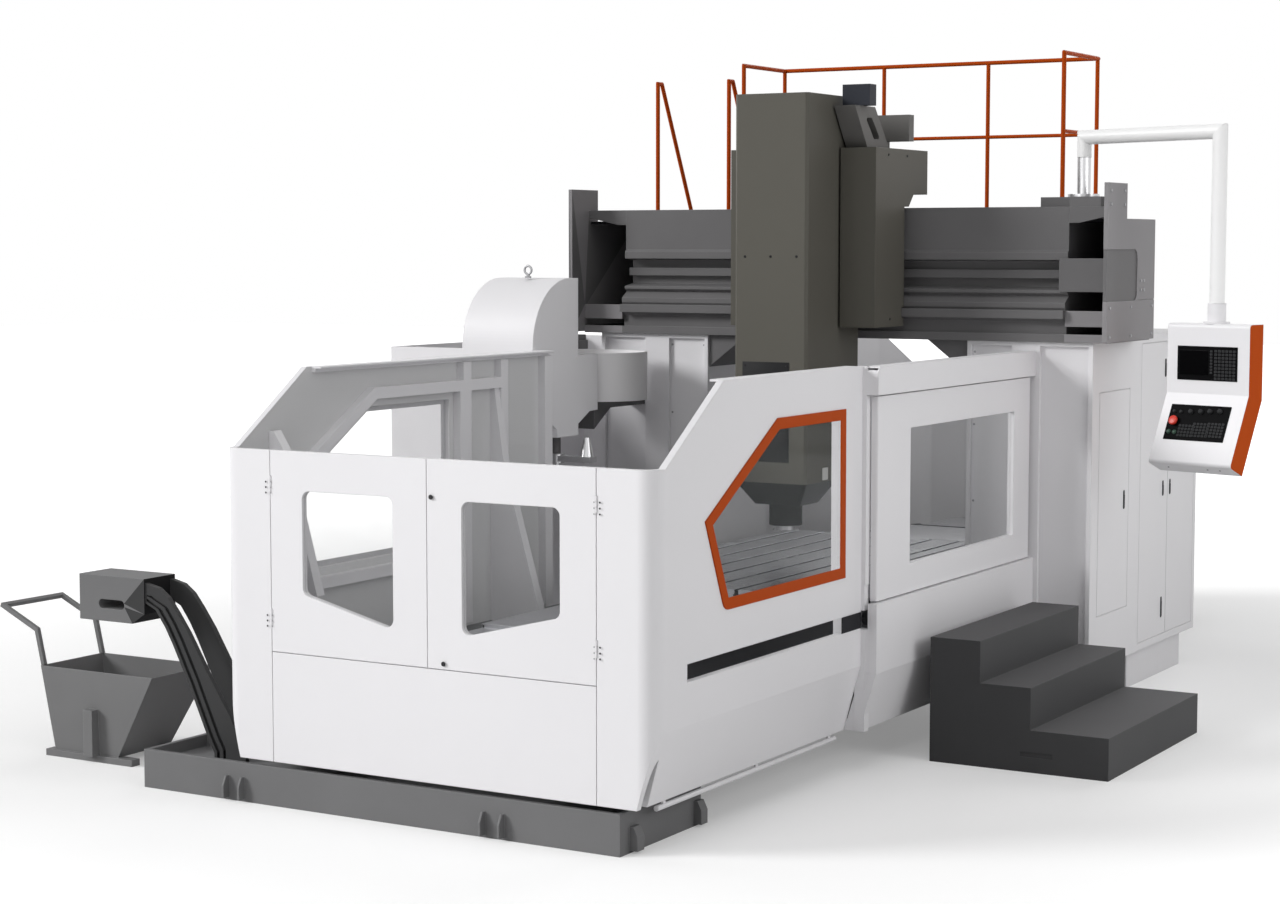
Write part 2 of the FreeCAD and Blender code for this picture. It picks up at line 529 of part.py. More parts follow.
def side_guard(y_end, tube_y):
    """Right side guard with its upright corner, from the front door to y_end, and the tube under its edge."""
    outer = [(FRONT_Y, LOW), (FRONT_Y, FRONT_TOP), (FRONT_Y + CORNER_R, FRONT_TOP),
             (FRONT_Y + CORNER_R + SLOPE_RUN, SIDE_TOP), (y_end, SIDE_TOP), (y_end, LOW)]
    body = prism_x(outer, DOOR_HALF, GUARD_X)
    plan = box(DOOR_HALF, GUARD_X, FRONT_Y, y_end, LOW, SIDE_TOP)
    plan = round_edges(plan, CORNER_R, lambda e: along("z")(e) and e.Vertexes[0].X > GUARD_X - 1
                       and e.Vertexes[0].Y < FRONT_Y + 1)
    inner = box(DOOR_HALF - 1, GUARD_X - PANEL, FRONT_Y + PANEL, y_end + 1, LOW - 1, SIDE_TOP + 1)
    inner = round_edges(inner, CORNER_R - PANEL, lambda e: along("z")(e) and e.Vertexes[0].X > GUARD_X - PANEL - 1
                        and e.Vertexes[0].Y < FRONT_Y + PANEL + 1)
    shell = body.common(plan).cut(inner)
    wedge = prism_y([(GUARD_X - TAPER, LOW - 1), (GUARD_X, FOLD_Z), (GUARD_X + 50, FOLD_Z), (GUARD_X + 50, LOW - 1)],
                    FRONT_Y - 1, y_end + 1)
    lean = prism_y([(GUARD_X - TAPER - PANEL, LOW), (GUARD_X - PANEL, FOLD_Z), (GUARD_X, FOLD_Z),
                    (GUARD_X - TAPER, LOW)], FRONT_Y + CORNER_R, y_end)
    tube_x = GUARD_X - TAPER - PANEL / 2
    tube = rod(tube_x, tube_y, LOW - 35, 15.0, y_end - 90 - tube_y, vec(0, 1, 0))
    tabs = [box(tube_x - 5, tube_x + 5, y, y + 30, LOW - 30, LOW + 30)
            for y in (tube_y + 60, (tube_y + y_end) / 2, y_end - 180)]
    return join([shell.cut(wedge), lean, tube] + tabs)


def window_solid(x0, x1, offset):
    return prism_x(inset(SIDE_WINDOW, offset), x0, x1)


def frame_inside(y_end):
    """Inside frame of the right guard: window band, top flange, rail, posts, ledge and two floor gussets."""
    band = window_solid(WALL - 55, WALL, -87).cut(window_solid(WALL - 56, WALL + 1, -17))
    parts = [band, box(WALL - 70, WALL, FRONT_Y + 760, y_end, SIDE_TOP - 12, SIDE_TOP),
             box(WALL - 28, WALL, FRONT_Y + 760, y_end, SIDE_TOP - 34, SIDE_TOP - 12),
             box(WALL - 55, WALL, WIN_Y + 1660, min(y_end, WIN_Y + 2150), SIDE_TOP - 217, SIDE_TOP - 147)]
    for y0, y1 in ((WIN_Y + 1715, WIN_Y + 1800), (WIN_Y + 2140, WIN_Y + 2220), (WIN_Y + 2660, WIN_Y + 2750)):
        if y1 <= y_end:
            parts.append(box(WALL - 55, WALL, y0, y1, FOLD_Z + 60, SIDE_TOP - 34))
    if y_end > WIN_Y + 2750:
        parts.append(box(WALL - 70, WALL, WIN_Y + 2220, WIN_Y + 2660, SIDE_TOP - 377, SIDE_TOP - 327))
    for y, reach, high, low, knee in ((FRONT_Y + 364, 332, SIDE_TOP - 347, FOLD_Z + 483, SIDE_TOP - 452),
                                      (WIN_Y + 2090, 387, SIDE_TOP - 203, FOLD_Z + 61, SIDE_TOP - 704)):
        if y + 60 > y_end:
            continue
        foot = CHIP_Z0 - reach * CHIP_FALL / (WALL - BED_HALF) + CHIP_T + SEAT
        edge = [(WALL - 33, high), (WALL - 103, knee), (WALL - reach, low)]
        plate = prism_y([(WALL, high)] + edge + [(WALL - reach, foot), (WALL, CHIP_Z0 + CHIP_T + SEAT)], y, y + 8)
        rib = prism_y(edge + [(x + 14, z) for x, z in reversed(edge)], y, y + 70)
        parts += [plate, rib]
    return parts


# Chip floor: sheets that slope from the guard to the bed
CHIP_Z0 = FOLD_Z + 20.0
CHIP_FALL = 330.0
CHIP_T = 8.0


def chip_floor(y0, y1):
    return prism_y([(BED_HALF, CHIP_Z0 - CHIP_FALL), (WALL, CHIP_Z0), (WALL, CHIP_Z0 + CHIP_T),
                    (BED_HALF, CHIP_Z0 - CHIP_FALL + CHIP_T)], y0, y1)


front_floor = chip_floor(FRONT_Y + CORNER_R + 40, COL_Y0)
rear_right = chip_floor(CAB_Y1, BACK_Y - CORNER_R - 40)
rear_left = mirror_x(chip_floor(COL_Y1, BACK_Y - CORNER_R - 40))
save("chip_floor", front_floor, mirror_x(front_floor), rear_right, rear_left)


# Door hinges: pins on the seam line, the end knuckles on the guard and the middle one on the leaf
HINGE_X = DOOR_HALF - DOOR_GAP / 2


def knuckles(z, r, bounds):
    return [rod(HINGE_X, FRONT_Y, z + a, r, b - a) for a, b in bounds]


def add_hinges(guard, leaf):
    third = HINGE_LONG / 3
    for z in HINGE_Z:
        ends = ((0, third), (2 * third, HINGE_LONG))
        middle = ((third + 1, 2 * third - 1),)
        room = ((third, 2 * third),)
        wide = ((-1, third + 1), (2 * third - 1, HINGE_LONG + 1))
        for piece in knuckles(z, KNUCKLE_R + 1, room):
            guard = guard.cut(piece)
        for piece in knuckles(z, KNUCKLE_R + 1, wide):
            leaf = leaf.cut(piece)
        for piece in knuckles(z, KNUCKLE_R, ends) + knuckles(z, PIN_R, ((0, HINGE_LONG),)):
            guard = guard.fuse(piece)
        for piece in knuckles(z, KNUCKLE_R, middle):
            leaf = leaf.fuse(piece)
        for piece in knuckles(z, PIN_R + RUN, ((-2, HINGE_LONG + 2),)):
            leaf = leaf.cut(piece)
    return guard, leaf


def door_window(y0, y1, offset):
    points = [(WIN_IN, WIN_LOW_IN), (WIN_OUT, WIN_LOW_OUT), (WIN_OUT, WIN_TOP), (WIN_IN, WIN_TOP)]
    return round_edges(prism_y(inset(points, offset), y0, y1), WIN_R - offset, along("y"))


leaf = box(DOOR_GAP / 2, DOOR_HALF - DOOR_GAP, FRONT_Y, FRONT_Y + PANEL, DOOR_SILL, FRONT_TOP)
leaf = leaf.cut(door_window(FRONT_Y - 1, FRONT_Y + PANEL + 1, 0))

guard = join([side_guard(BAY_Y0, FRONT_Y + 230)] + frame_inside(BAY_Y0))
guard = guard.cut(window_solid(WALL - SHEET - 1, GUARD_X + 1, FRAME_W / 2))
guard = guard.cut(box(WALL - 1, GUARD_X + 1, SLOT_Y0, BAY_Y0 + 1, SLOT_Z - SLOT_HALF, SLOT_Z + SLOT_HALF))
guard, leaf = add_hinges(guard, leaf)
save("right_front_guard", guard)
save("front_right_door", leaf)
save("front_left_door", mirror_x(leaf))
pane = door_window(FRONT_Y + 16, FRONT_Y + 24, SEAT)
save("front_right_glass", pane)
save("front_left_glass", mirror_x(pane))

LEFT_END = MAG_FRONT + 30
left_guard = join([side_guard(LEFT_END, BED_Y0 + 60)] + frame_inside(LEFT_END))
left_guard = left_guard.cut(window_solid(WALL - SHEET - 1, GUARD_X + 1, FRAME_W / 2))
left_guard, _ = add_hinges(left_guard, leaf)
save("left_front_guard", mirror_x(left_guard))
frame = window_solid(GUARD_X, GUARD_X + FRAME_OUT, 0)
frame = round_edges(frame, 65.0, lambda e: along("x")(e) and e.Vertexes[0].Z < FOLD_Z + 546 and e.Vertexes[0].Y < WIN_Y + 300)
frame = frame.cut(window_solid(GUARD_X - 1, GUARD_X + FRAME_OUT + 1, FRAME_W))
save("side_window_frames", frame, mirror_x(frame))
pane = window_solid(GUARD_X - 14, GUARD_X - 6, FRAME_W / 2 + SEAT)
save("side_window_glass", pane, mirror_x(pane))

# Side doorway: hollow header with the hanger rail, jamb, lower panel and rear post
leaf_in = LEAF_X - LEAF_T
header = prism_x([(BAY_Y0, HEADER_LOW), (BAY_Y0, SIDE_TOP - 30), (BAY_Y0 + 30, SIDE_TOP), (COL_Y0, SIDE_TOP),
                  (COL_Y0, HEADER_LOW)], GUARD_X, BAY_X)
header = header.cut(box(GUARD_X + SHEET, BAY_X - SHEET, BAY_Y0 + SHEET, COL_Y0 - SHEET, HEADER_LOW - 1,
                        SIDE_TOP - SHEET))
rail_z = HEADER_LOW + RAIL_LIFT
rail = box(GUARD_X + SHEET, leaf_in + 4, BAY_Y0 + SHEET, COL_Y0 - SHEET, rail_z - 12, rail_z)
jamb = box(WALL, leaf_in - FREE, BAY_Y0, BAY_Y0 + 60, LOW, SIDE_TOP)
jamb = jamb.cut(box(WALL + 14, leaf_in, BAY_Y0 - 1, BAY_Y0 + 61, SLOT_Z - SLOT_HALF - FREE, LEAF_LOW - 52))
jamb = jamb.cut(box(leaf_in - 14, leaf_in, BAY_Y0 - 1, BAY_Y0 + 61, LEAF_LOW - 53, LEAF_LOW + 98))
lower = prism_y([(BAY_X - TAPER - PANEL, LOW), (BAY_X - PANEL, 600.0), (BAY_X - PANEL, LEAF_LOW - FREE),
                 (BAY_X, LEAF_LOW - FREE), (BAY_X, 600.0), (BAY_X - TAPER, LOW)], BAY_Y0, COL_Y0)
sill_plate = box(WALL, BAY_X - PANEL, BAY_Y0, COL_Y0, 600.0, 600.0 + SHEET)
closure = prism_y([(GUARD_X - TAPER, LOW), (GUARD_X, 600.0), (GUARD_X, LEAF_LOW - FREE), (BAY_X - PANEL, LEAF_LOW - FREE),
                   (BAY_X - PANEL, 600.0), (BAY_X - PANEL - TAPER, LOW)], BAY_Y0 + 2, BAY_Y0 + 12)
closure = closure.cut(box(GUARD_X - 1, leaf_in + FREE, BAY_Y0, BAY_Y0 + 13, SLOT_Z - SLOT_HALF - 6, LEAF_LOW))
post = box(WALL, leaf_in - FREE, COL_Y0 - 60, COL_Y0, LOW, SIDE_TOP)
save("side_doorway", join([header, rail, jamb, lower, sill_plate, closure, post]))

# Sliding door: hung from two rollers in the header, guided in the slot by a roller behind its front end
slider = box(leaf_in, LEAF_X, LEAF_Y0, LEAF_Y1, LEAF_LOW, HEADER_LOW - FREE)
slider = round_edges(slider, 12.0, lambda e: along("z")(e) and e.Vertexes[0].X > LEAF_X - 1)
slider = slider.cut(box(leaf_in - 1, LEAF_X + 1, *LEAF_WIN))
hangers = []
for y in (LEAF_Y1 - 430, LEAF_Y1 - 70):
    hangers.append(box(leaf_in + 12, leaf_in + 22, y - 35, y + 35, HEADER_LOW - FREE, rail_z + 2 * ROLLER_R))
    hangers.append(rod(GUARD_X + SHEET + 4, y, rail_z + ROLLER_R + RUN, ROLLER_R,
                       leaf_in - GUARD_X - SHEET, vec(1, 0, 0)))
    hangers.append(rod(leaf_in - 1, y, rail_z + ROLLER_R + RUN, 8.0, 14.0, vec(1, 0, 0)))
guide_y = LEAF_Y0 + 50
hangers.append(box(leaf_in - 6, leaf_in, guide_y - 30, guide_y + 30, SLOT_Z - 30, LEAF_LOW + 90))
hangers.append(rod(WALL + 20, guide_y, SLOT_Z, SLOT_HALF - 1, leaf_in - 4 - WALL - 20, vec(1, 0, 0)))
save("side_door", join([slider] + hangers))
save("side_door_glass", box(leaf_in + 18, leaf_in + 26, LEAF_WIN[0] + SEAT, LEAF_WIN[1] - SEAT,
                            LEAF_WIN[2] + SEAT, LEAF_WIN[3] - SEAT))

# Rear guard: the same side sheets and corners as in front, with a plain sheet between them
right_rear = mirror_y(side_guard(2 * MID_Y - CAB_Y1, FRONT_Y + 230))
left_rear = mirror_x(mirror_y(side_guard(2 * MID_Y - COL_Y1, FRONT_Y + 230)))
middle = box(-DOOR_HALF, DOOR_HALF, BACK_Y - PANEL, BACK_Y, LOW, FRONT_TOP)
save("rear_guard", join([right_rear, middle, left_rear]))

# Chip trough: a shallow channel across the front, with an arm back beside the bed and lifting lugs
trough = join([box(TROUGH_X0, TROUGH_X1, FRONT_Y, BED_Y0, 0, TROUGH_H),
               box(BED_HALF + FREE, TROUGH_X1, FRONT_Y, FRONT_Y + TROUGH_ARM, 0, TROUGH_H),
               box(-TROUGH_X1, -BED_HALF - FREE, FRONT_Y, FRONT_Y + TROUGH_ARM, 0, TROUGH_H)])
trough = trough.cut(box(TROUGH_X0 + 30, TROUGH_X1 - 30, FRONT_Y + 30, BED_Y0 - 30, TROUGH_FLOOR, TROUGH_H + 1))
lug = [(0, 15), (0, TROUGH_H - 80), (25, TROUGH_H - 80), (50, TROUGH_H - 130), (50, 15)]
lugs = [prism_x([(FRONT_Y - out, z) for out, z in lug], x, x + 12)
        for x in (-GUARD_X + 10, -GUARD_X + 120, GUARD_X - 1040, GUARD_X - 920)]
for y in (FRONT_Y + 93, FRONT_Y + TROUGH_ARM - 82):
    lugs.append(prism_y([(TROUGH_X1 + out, z) for out, z in lug], y, y + 67))
lugs.append(prism_y([(TROUGH_X0 - out, z) for out, z in lug], FRONT_Y + 93, FRONT_Y + 160))
save("chip_trough", join([trough] + lugs))

# Chip conveyor: two curved side frames, the belt housing between them and the discharge head
edge = [(-244, 1032), (-128, 979), (-57, 883), (-1, 787), (111, 572), (255, 261), (300, 180)]
back = [(530, 180), (415, 411), (256, 641), (117, 864), (35, 975), (-35, 1060), (-105, 1110), (-198, 1131)]


def conveyor_side(y0, y1, low_gap, high_gap):
    lower = [(TROUGH_X0 + x + low_gap, HEAD_Z1 - 1157 + z + low_gap / 3) for x, z in edge]
    upper = [(TROUGH_X0 + x - high_gap, HEAD_Z1 - 1157 + z - high_gap / 2) for x, z in back]
    foot = [(lower[-1][0], TROUGH_FLOOR), (upper[0][0], TROUGH_FLOOR)]
    start = [(HEAD_X1 - 40, upper[-1][1]), (HEAD_X1 - 40, lower[0][1])]
    return prism_y(lower + foot + upper + start, y0, y1)


front_face = CONV_Y0 + 10
frames = [conveyor_side(front_face, front_face + CONV_SIDE, 0, 0),
          conveyor_side(CONV_Y1 - 30 - CONV_SIDE, CONV_Y1 - 30, 0, 0)]
for near, far in ((20, 42), (66, 88)):
    groove = conveyor_side(front_face - 1, front_face + 18, near, -1).cut(
        conveyor_side(front_face - 2, front_face + 19, far, -2))
    frames[0] = frames[0].cut(groove.common(box(HEAD_X1 + 10, 0, FRONT_Y, 0, TROUGH_FLOOR + 1, HEAD_Z1)))
frames.append(conveyor_side(front_face + CONV_SIDE, CONV_Y1 - 30 - CONV_SIDE, 20, 75))
head = prism_y([(HEAD_X0, HEAD_Z0), (HEAD_X0, HEAD_Z1), (HEAD_X1, HEAD_Z1), (HEAD_X1, HEAD_Z0 + 62),
                (HEAD_X1 - 95, HEAD_Z0)], CONV_Y0, CONV_Y1 - 20)
slot = box(HEAD_X0 + 150, HEAD_X0 + 350, CONV_Y0 - 1, CONV_Y1, HEAD_Z0 + 75, HEAD_Z0 + 130)
slot = round_edges(slot, 27.0, along("y"))
save("chip_conveyor", join(frames + [head.cut(slot)]))

# Chip cart: flared sheet tub on a flat base, with a bent tube handle
def ring(x0, x1, y0, y1, z):
    return [(x0, y0, z), (x1, y0, z), (x1, y1, z), (x0, y1, z)]


def tub(gap, z_gap):
    return loft(ring(CART_X0 + 90 + gap, CART_X1 - 294 - gap, CART_Y0 + 20 + gap, CART_Y1 - 60 - gap, CART_BASE + gap),
                ring(CART_X0 + gap, CART_X1 - gap, CART_Y0 + gap, CART_Y1 - gap, CART_TOP + z_gap))


skids = [box(CART_X0 + 30, CART_X1 - 170, y, y + 70, 0, CART_BASE) for y in (CART_Y0, CART_Y1 - 150)]
pocket = box(CART_X0 + 380, CART_X0 + 450, CART_Y0 - 45, CART_Y0 + 60, CART_BASE, CART_BASE + 280)
grip_x, grip_z = CART_X0 - 330, CART_TOP + 340
near, far = CART_Y0 + 30, CART_Y1 - 4
handle = square_path([(CART_X0 + 14, near, CART_TOP - 60), (CART_X0 - 50, near, CART_TOP + 212),
                      (grip_x, near, grip_z), (grip_x, far, grip_z), (CART_X0 - 50, far, CART_TOP + 212),
                      (CART_X0 + 14, far, CART_TOP - 60)], 13)
hollow = tub(CART_SHEET, 1)
save("chip_cart", join([tub(0, 0).cut(hollow), pocket.cut(hollow), handle.cut(hollow)] + skids))

# Steps
tread = [STEP_X0 + i * STEP_TREAD for i in range(3)] + [STEP_X0 + 2 * STEP_TREAD + STEP_LAST]
steps = [box(STEP_X0, tread[i + 1], STEP_Y0, STEP_Y1, (2 - i) * STEP_RISE, (3 - i) * STEP_RISE) for i in range(3)]
grip = box(STEP_X0 + 580, STEP_X0 + 780, STEP_Y0 - 1, STEP_Y0 + 6, 90, 120)
save("steps", join(steps).cut(grip))

# Platform and railing
deck = box(HOOP_X[0] - DECK_EDGE, RAIL_END + DECK_EDGE, BEAM_BACK, RAIL_FAR + DECK_EDGE, BEAM_TOP - DECK_T, BEAM_TOP)
save("platform_deck", deck)
low_rail = RAIL_TOP - RAIL_MID
frame_bar = [(-RAIL_END, RAIL_NEAR, BEAM_TOP), (-RAIL_END, RAIL_NEAR, RAIL_TOP), (-RAIL_END, RAIL_FAR, RAIL_TOP),
             (RAIL_END, RAIL_FAR, RAIL_TOP), (RAIL_END, RAIL_NEAR, RAIL_TOP), (RAIL_END, RAIL_NEAR, BEAM_TOP)]
middle_bar = [(-RAIL_END, RAIL_NEAR, low_rail), (-RAIL_END, RAIL_FAR, low_rail),
              (RAIL_END, RAIL_FAR, low_rail), (RAIL_END, RAIL_NEAR, low_rail)]
railing = bar_path(frame_bar, RAIL_R, 8)
for x in (-RAIL_END, -RAIL_END / 3, RAIL_END / 3, RAIL_END):
    railing = railing.fuse(bar_path([(x, RAIL_FAR, BEAM_TOP), (x, RAIL_FAR, RAIL_TOP - 3)], RAIL_R - 1, 8))
railing = railing.fuse(bar_path(middle_bar, RAIL_R - 2, 8))
hoops = []
for x in HOOP_X:
    hoop = bar_path([(x, RAIL_NEAR, BEAM_TOP), (x, RAIL_NEAR, RAIL_TOP - 110), (x, RAIL_NEAR + 60, RAIL_TOP - 110),
                     (x, RAIL_FAR - 122, BEAM_TOP - 40)], RAIL_R, 8)
    hoops.append(hoop.cut(box(x - 50, x + 50, BEAM_BACK, RAIL_FAR, BEAM_TOP - 200, BEAM_TOP)))
save("railing", railing, *hoops)

# Tool magazine: the closed cover, with the drum turning on an axle behind it
arc_mid = math.sqrt(0.5) * MAG_R
arc_y = MAG_FRONT + MAG_R
arc_z = MAG_TOP - MAG_R


def at(y, z):
    return vec(MAG_X0, y, z)


outline = [(arc_y, MAG_TOP), (MAG_MID, MAG_TOP), (MAG_MID, MAG_SHOULDER), (MAG_REAR, MAG_SHOULDER),
           (MAG_REAR, MAG_LOW + 12), (MAG_REAR - 105, MAG_LOW + 8), (MAG_MID, MAG_LOW - 70), (MAG_MID, MAG_FUNNEL),
           (MAG_MID - 268, MAG_FUNNEL), (MAG_MID - 275, MAG_FUNNEL + 56), (MAG_MID - 420, MAG_LOW),
           (MAG_FRONT, MAG_LOW), (MAG_FRONT, arc_z)]
lines = Part.makePolygon([at(y, z) for y, z in outline])
curve = Part.Arc(at(MAG_FRONT, arc_z), at(arc_y - arc_mid, arc_z + arc_mid), at(arc_y, MAG_TOP)).toShape()
cover = Part.Face(Part.Wire(lines.Edges + [curve])).extrude(vec(MAG_X1 - MAG_X0, 0, 0))
save("magazine_cover", cover)
drum = rod(DRUM_X, DRUM_Y, DRUM_Z, DRUM_R, DRUM_H)
drum = drum.cut(rod(DRUM_X, DRUM_Y, DRUM_Z + DRUM_H - 90, DRUM_R - 20, 91))
drum = drum.cut(rod(DRUM_X, DRUM_Y, DRUM_Z - 1, AXLE_R + SEAT, DRUM_H + 2))
save("tool_drum", drum)

# Bracket from the column under the drum, its axle, the drum drive, and the shaft for the tool arm
col_face = COL_Y0 + COL_RECESS
arm_z = DRUM_Z - 15
bracket = prism_x([(MAG_REAR, arm_z), (col_face, arm_z), (col_face, arm_z - 45), (DRUM_Y + 13, arm_z - 45),
                   (DRUM_Y - 210, arm_z - 185), (DRUM_Y - 210, arm_z - 45), (MAG_REAR, arm_z - 45)],
                  DRUM_X - 70, DRUM_X + 70)
axle = rod(DRUM_X, DRUM_Y, arm_z - 1, AXLE_R, DRUM_H - 25)
drive_z = DRUM_Z + DRUM_H + 30
drive = box(DRUM_X - 30, DRUM_X + 30, MAG_MID, MAG_REAR + 90, drive_z + 60, drive_z + 100)
wheel = rod(DRUM_X, MAG_REAR + 60, drive_z, 55.0, 61)
shaft = rod(ARM_PIVOT_X, ARM_PIVOT_Y, ARM_PLATE_Z + 61 + SEAT, 32.0, MAG_FUNNEL - ARM_PLATE_Z - 61 - SEAT)
save("magazine_bracket", join([bracket, axle]), join([drive, wheel]), shaft)

# Tool arm: a double-ended bar on its shaft, with a cone holder at the right end
arm = box(ARM_PIVOT_X - ARM_HALF, ARM_PIVOT_X + ARM_HALF, ARM_PIVOT_Y - 45, ARM_PIVOT_Y + 45, ARM_PLATE_Z + 10,
          ARM_PLATE_Z + 50)
hub = rod(ARM_PIVOT_X, ARM_PIVOT_Y, ARM_PLATE_Z, 60.0, 61)
stem = rod(ARM_PIVOT_X, ARM_PIVOT_Y, ARM_PLATE_Z - 150, 30.0, 151)
holder = Part.makeCone(48, 22, MAG_FUNNEL - FREE - ARM_PLATE_Z - 50,
                       vec(ARM_PIVOT_X + ARM_HALF - 50, ARM_PIVOT_Y, ARM_PLATE_Z + 50), UP)
save("tool_arm", join([arm, hub, stem, holder]))

# Pendant arm: base box and post on the beam, then the swinging elbow tube
base_x1 = ARM_X + 230
base = join([box(ARM_X - 226, base_x1, ARM_Y - 200, ARM_Y + 130, BEAM_TOP, BEAM_TOP + BASE_BOX),
             box(BEAM_HALF, base_x1, BEAM_LIP + 60, ARM_Y, BEAM_TOP, BEAM_TOP + BASE_BOX),
             box(BEAM_HALF, base_x1, BEAM_LIP + 90, ARM_Y + 130, ROOF_Z, BEAM_TOP)])
flange = rod(ARM_X, ARM_Y, BEAM_TOP + BASE_BOX, 105.0, 22)
post = rod(ARM_X, ARM_Y, BEAM_TOP + BASE_BOX, ARM_R - 3, POST_TOP - BEAM_TOP - BASE_BOX)
save("arm_post", join([base, flange, post]))
swing = math.radians(ARM_SWING)
end_x = ARM_X + ARM_LONG * math.cos(swing)
end_y = ARM_Y - ARM_LONG * math.sin(swing)
neck_z = PENDANT_TOP + COLLAR_H
arm = tube_path([vec(ARM_X, ARM_Y, POST_TOP + SEAT), vec(ARM_X, ARM_Y, ARM_Z), vec(end_x, end_y, ARM_Z),
                 vec(end_x, end_y, neck_z + SEAT)], ARM_R)
save("pendant_arm", arm)

# Pendant: upright upper half, lower half leaning out, side cheeks standing a little proud
low_len = math.hypot(PENDANT_OUT, PENDANT_KNEE - PENDANT_LOW)
back_y = PENDANT_D * (PENDANT_KNEE - PENDANT_LOW) / low_len
back_z = PENDANT_D * PENDANT_OUT / low_len
side = [(-PENDANT_FACE, PENDANT_TOP), (-PENDANT_FACE, PENDANT_KNEE), (-PENDANT_FACE - PENDANT_OUT, PENDANT_LOW),
        (-PENDANT_FACE - PENDANT_OUT + back_y, PENDANT_LOW - back_z),
        (PENDANT_D - PENDANT_FACE, PENDANT_KNEE - back_z / 2), (PENDANT_D - PENDANT_FACE, PENDANT_TOP)]
half = PENDANT_W / 2
body = prism_x(side, -half + CHEEK, half - CHEEK)
body = round_edges(body, 24.0, lambda e: along("x")(e) and (e.Vertexes[0].Point.sub(vec(e.Vertexes[0].X, *side[0]))
                   .Length < 1 or e.Vertexes[0].Point.sub(vec(e.Vertexes[0].X, *side[2])).Length < 1))
cheek = round_edges(prism_x(side, half - CHEEK, half), 24.0,
                    lambda e: along("x")(e) and (e.Vertexes[0].Point.sub(vec(e.Vertexes[0].X, *side[0])).Length < 1
                                                 or e.Vertexes[0].Point.sub(vec(e.Vertexes[0].X, *side[2])).Length < 1))
collar = join([rod(0, 0, PENDANT_TOP - 2, COLLAR_R, COLLAR_H + 2), rod(0, 0, PENDANT_TOP - 2, 84.0, 14)])
pendant = join([body, collar, cheek, mirror_x(cheek)])
pendant.rotate(vec(0, 0, 0), UP, -PENDANT_YAW)
pendant.translate(vec(end_x, end_y, 0))
save("pendant", pendant)
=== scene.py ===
import math
import bmesh
import bpy
from mathutils import Matrix, Vector


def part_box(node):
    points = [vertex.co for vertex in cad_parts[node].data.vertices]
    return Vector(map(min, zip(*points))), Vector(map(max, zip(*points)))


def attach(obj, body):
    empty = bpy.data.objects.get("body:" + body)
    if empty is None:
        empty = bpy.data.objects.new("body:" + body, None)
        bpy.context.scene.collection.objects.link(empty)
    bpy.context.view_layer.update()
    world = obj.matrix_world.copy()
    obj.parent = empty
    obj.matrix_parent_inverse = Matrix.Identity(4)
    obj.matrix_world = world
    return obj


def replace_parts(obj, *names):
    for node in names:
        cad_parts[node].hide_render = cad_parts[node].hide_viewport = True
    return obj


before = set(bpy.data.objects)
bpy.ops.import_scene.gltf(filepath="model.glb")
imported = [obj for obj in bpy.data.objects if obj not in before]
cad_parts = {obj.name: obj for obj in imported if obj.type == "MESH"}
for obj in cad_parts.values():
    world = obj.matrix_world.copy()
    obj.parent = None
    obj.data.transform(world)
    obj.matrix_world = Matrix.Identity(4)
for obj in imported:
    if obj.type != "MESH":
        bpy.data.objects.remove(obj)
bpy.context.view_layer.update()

# Bed
# The long base casting that carries the table ways. It is cast iron, painted grey where it is
# not machined, and the hardened guide rails are bolted down into it along both sides.


class Socket:
    """One output in a node tree. Signs between sockets add Math nodes, node() adds any other node."""

    def __init__(self, tree, output=None):
        self.tree = tree
        self.output = output

    def node(self, kind, settings=None, inputs=None, output=0):
        """Adds a node: its settings first, then the values or links of its inputs."""
        made = self.tree.nodes.new(kind)
        for name, value in (settings or {}).items():
            if name == "stops":
                for stop, (place, colour) in zip(made.color_ramp.elements, value):
                    stop.position = place
                    stop.color = (*colour, 1)
            else:
                setattr(made, name, value)
        for name, value in (inputs or {}).items():
            if isinstance(value, Socket):
                self.tree.links.new(value.output, made.inputs[name])
            else:
                made.inputs[name].default_value = value
        return None if output is None else Socket(self.tree, made.outputs[output])

    def math(self, operation, a, b=0.0):
        return self.node("ShaderNodeMath", {"operation": operation}, {0: a, 1: b})

    def __add__(self, other):
        return self.math("ADD", self, other)

    def __sub__(self, other):
        return self.math("SUBTRACT", self, other)

    def __rsub__(self, other):
        return self.math("SUBTRACT", other, self)

    def __mul__(self, other):
        return self.math("MULTIPLY", self, other)

    __radd__ = __add__
    __rmul__ = __mul__

    def clamped(self):
        return self.node("ShaderNodeClamp", inputs={"Value": self})

    def blend(self, first, second):
        """Colour between first, where this value is 0, and second, where it is 1."""
        colours = {7: second, 6: first}
        inputs = {i: c if isinstance(c, Socket) else (*c, 1) for i, c in colours.items()}
        return self.node("ShaderNodeMix", {"data_type": "RGBA"}, {0: self, **inputs}, 2)

    def noise(self, scale, detail=2.0, stretch=(1, 1, 1)):
        """Noise over this place, finer along an axis whose stretch is above 1."""
        spread = self.node("ShaderNodeMapping", inputs={"Vector": self, "Scale": stretch})
        return self.node("ShaderNodeTexNoise", inputs={"Vector": spread, "Scale": scale, "Detail": detail})


def start_finish(name):
    """New material, with the place on the object that its patterns read."""
    material = bpy.data.materials.new(name)
    material.use_nodes = True
    material.node_tree.nodes.clear()
    place = Socket(material.node_tree).node("ShaderNodeTexCoord", output="Object")
    return material, place


def close_finish(place, inputs):
    shader = place.node("ShaderNodeBsdfPrincipled", inputs=inputs)
    place.node("ShaderNodeOutputMaterial", inputs={"Surface": shader}, output=None)


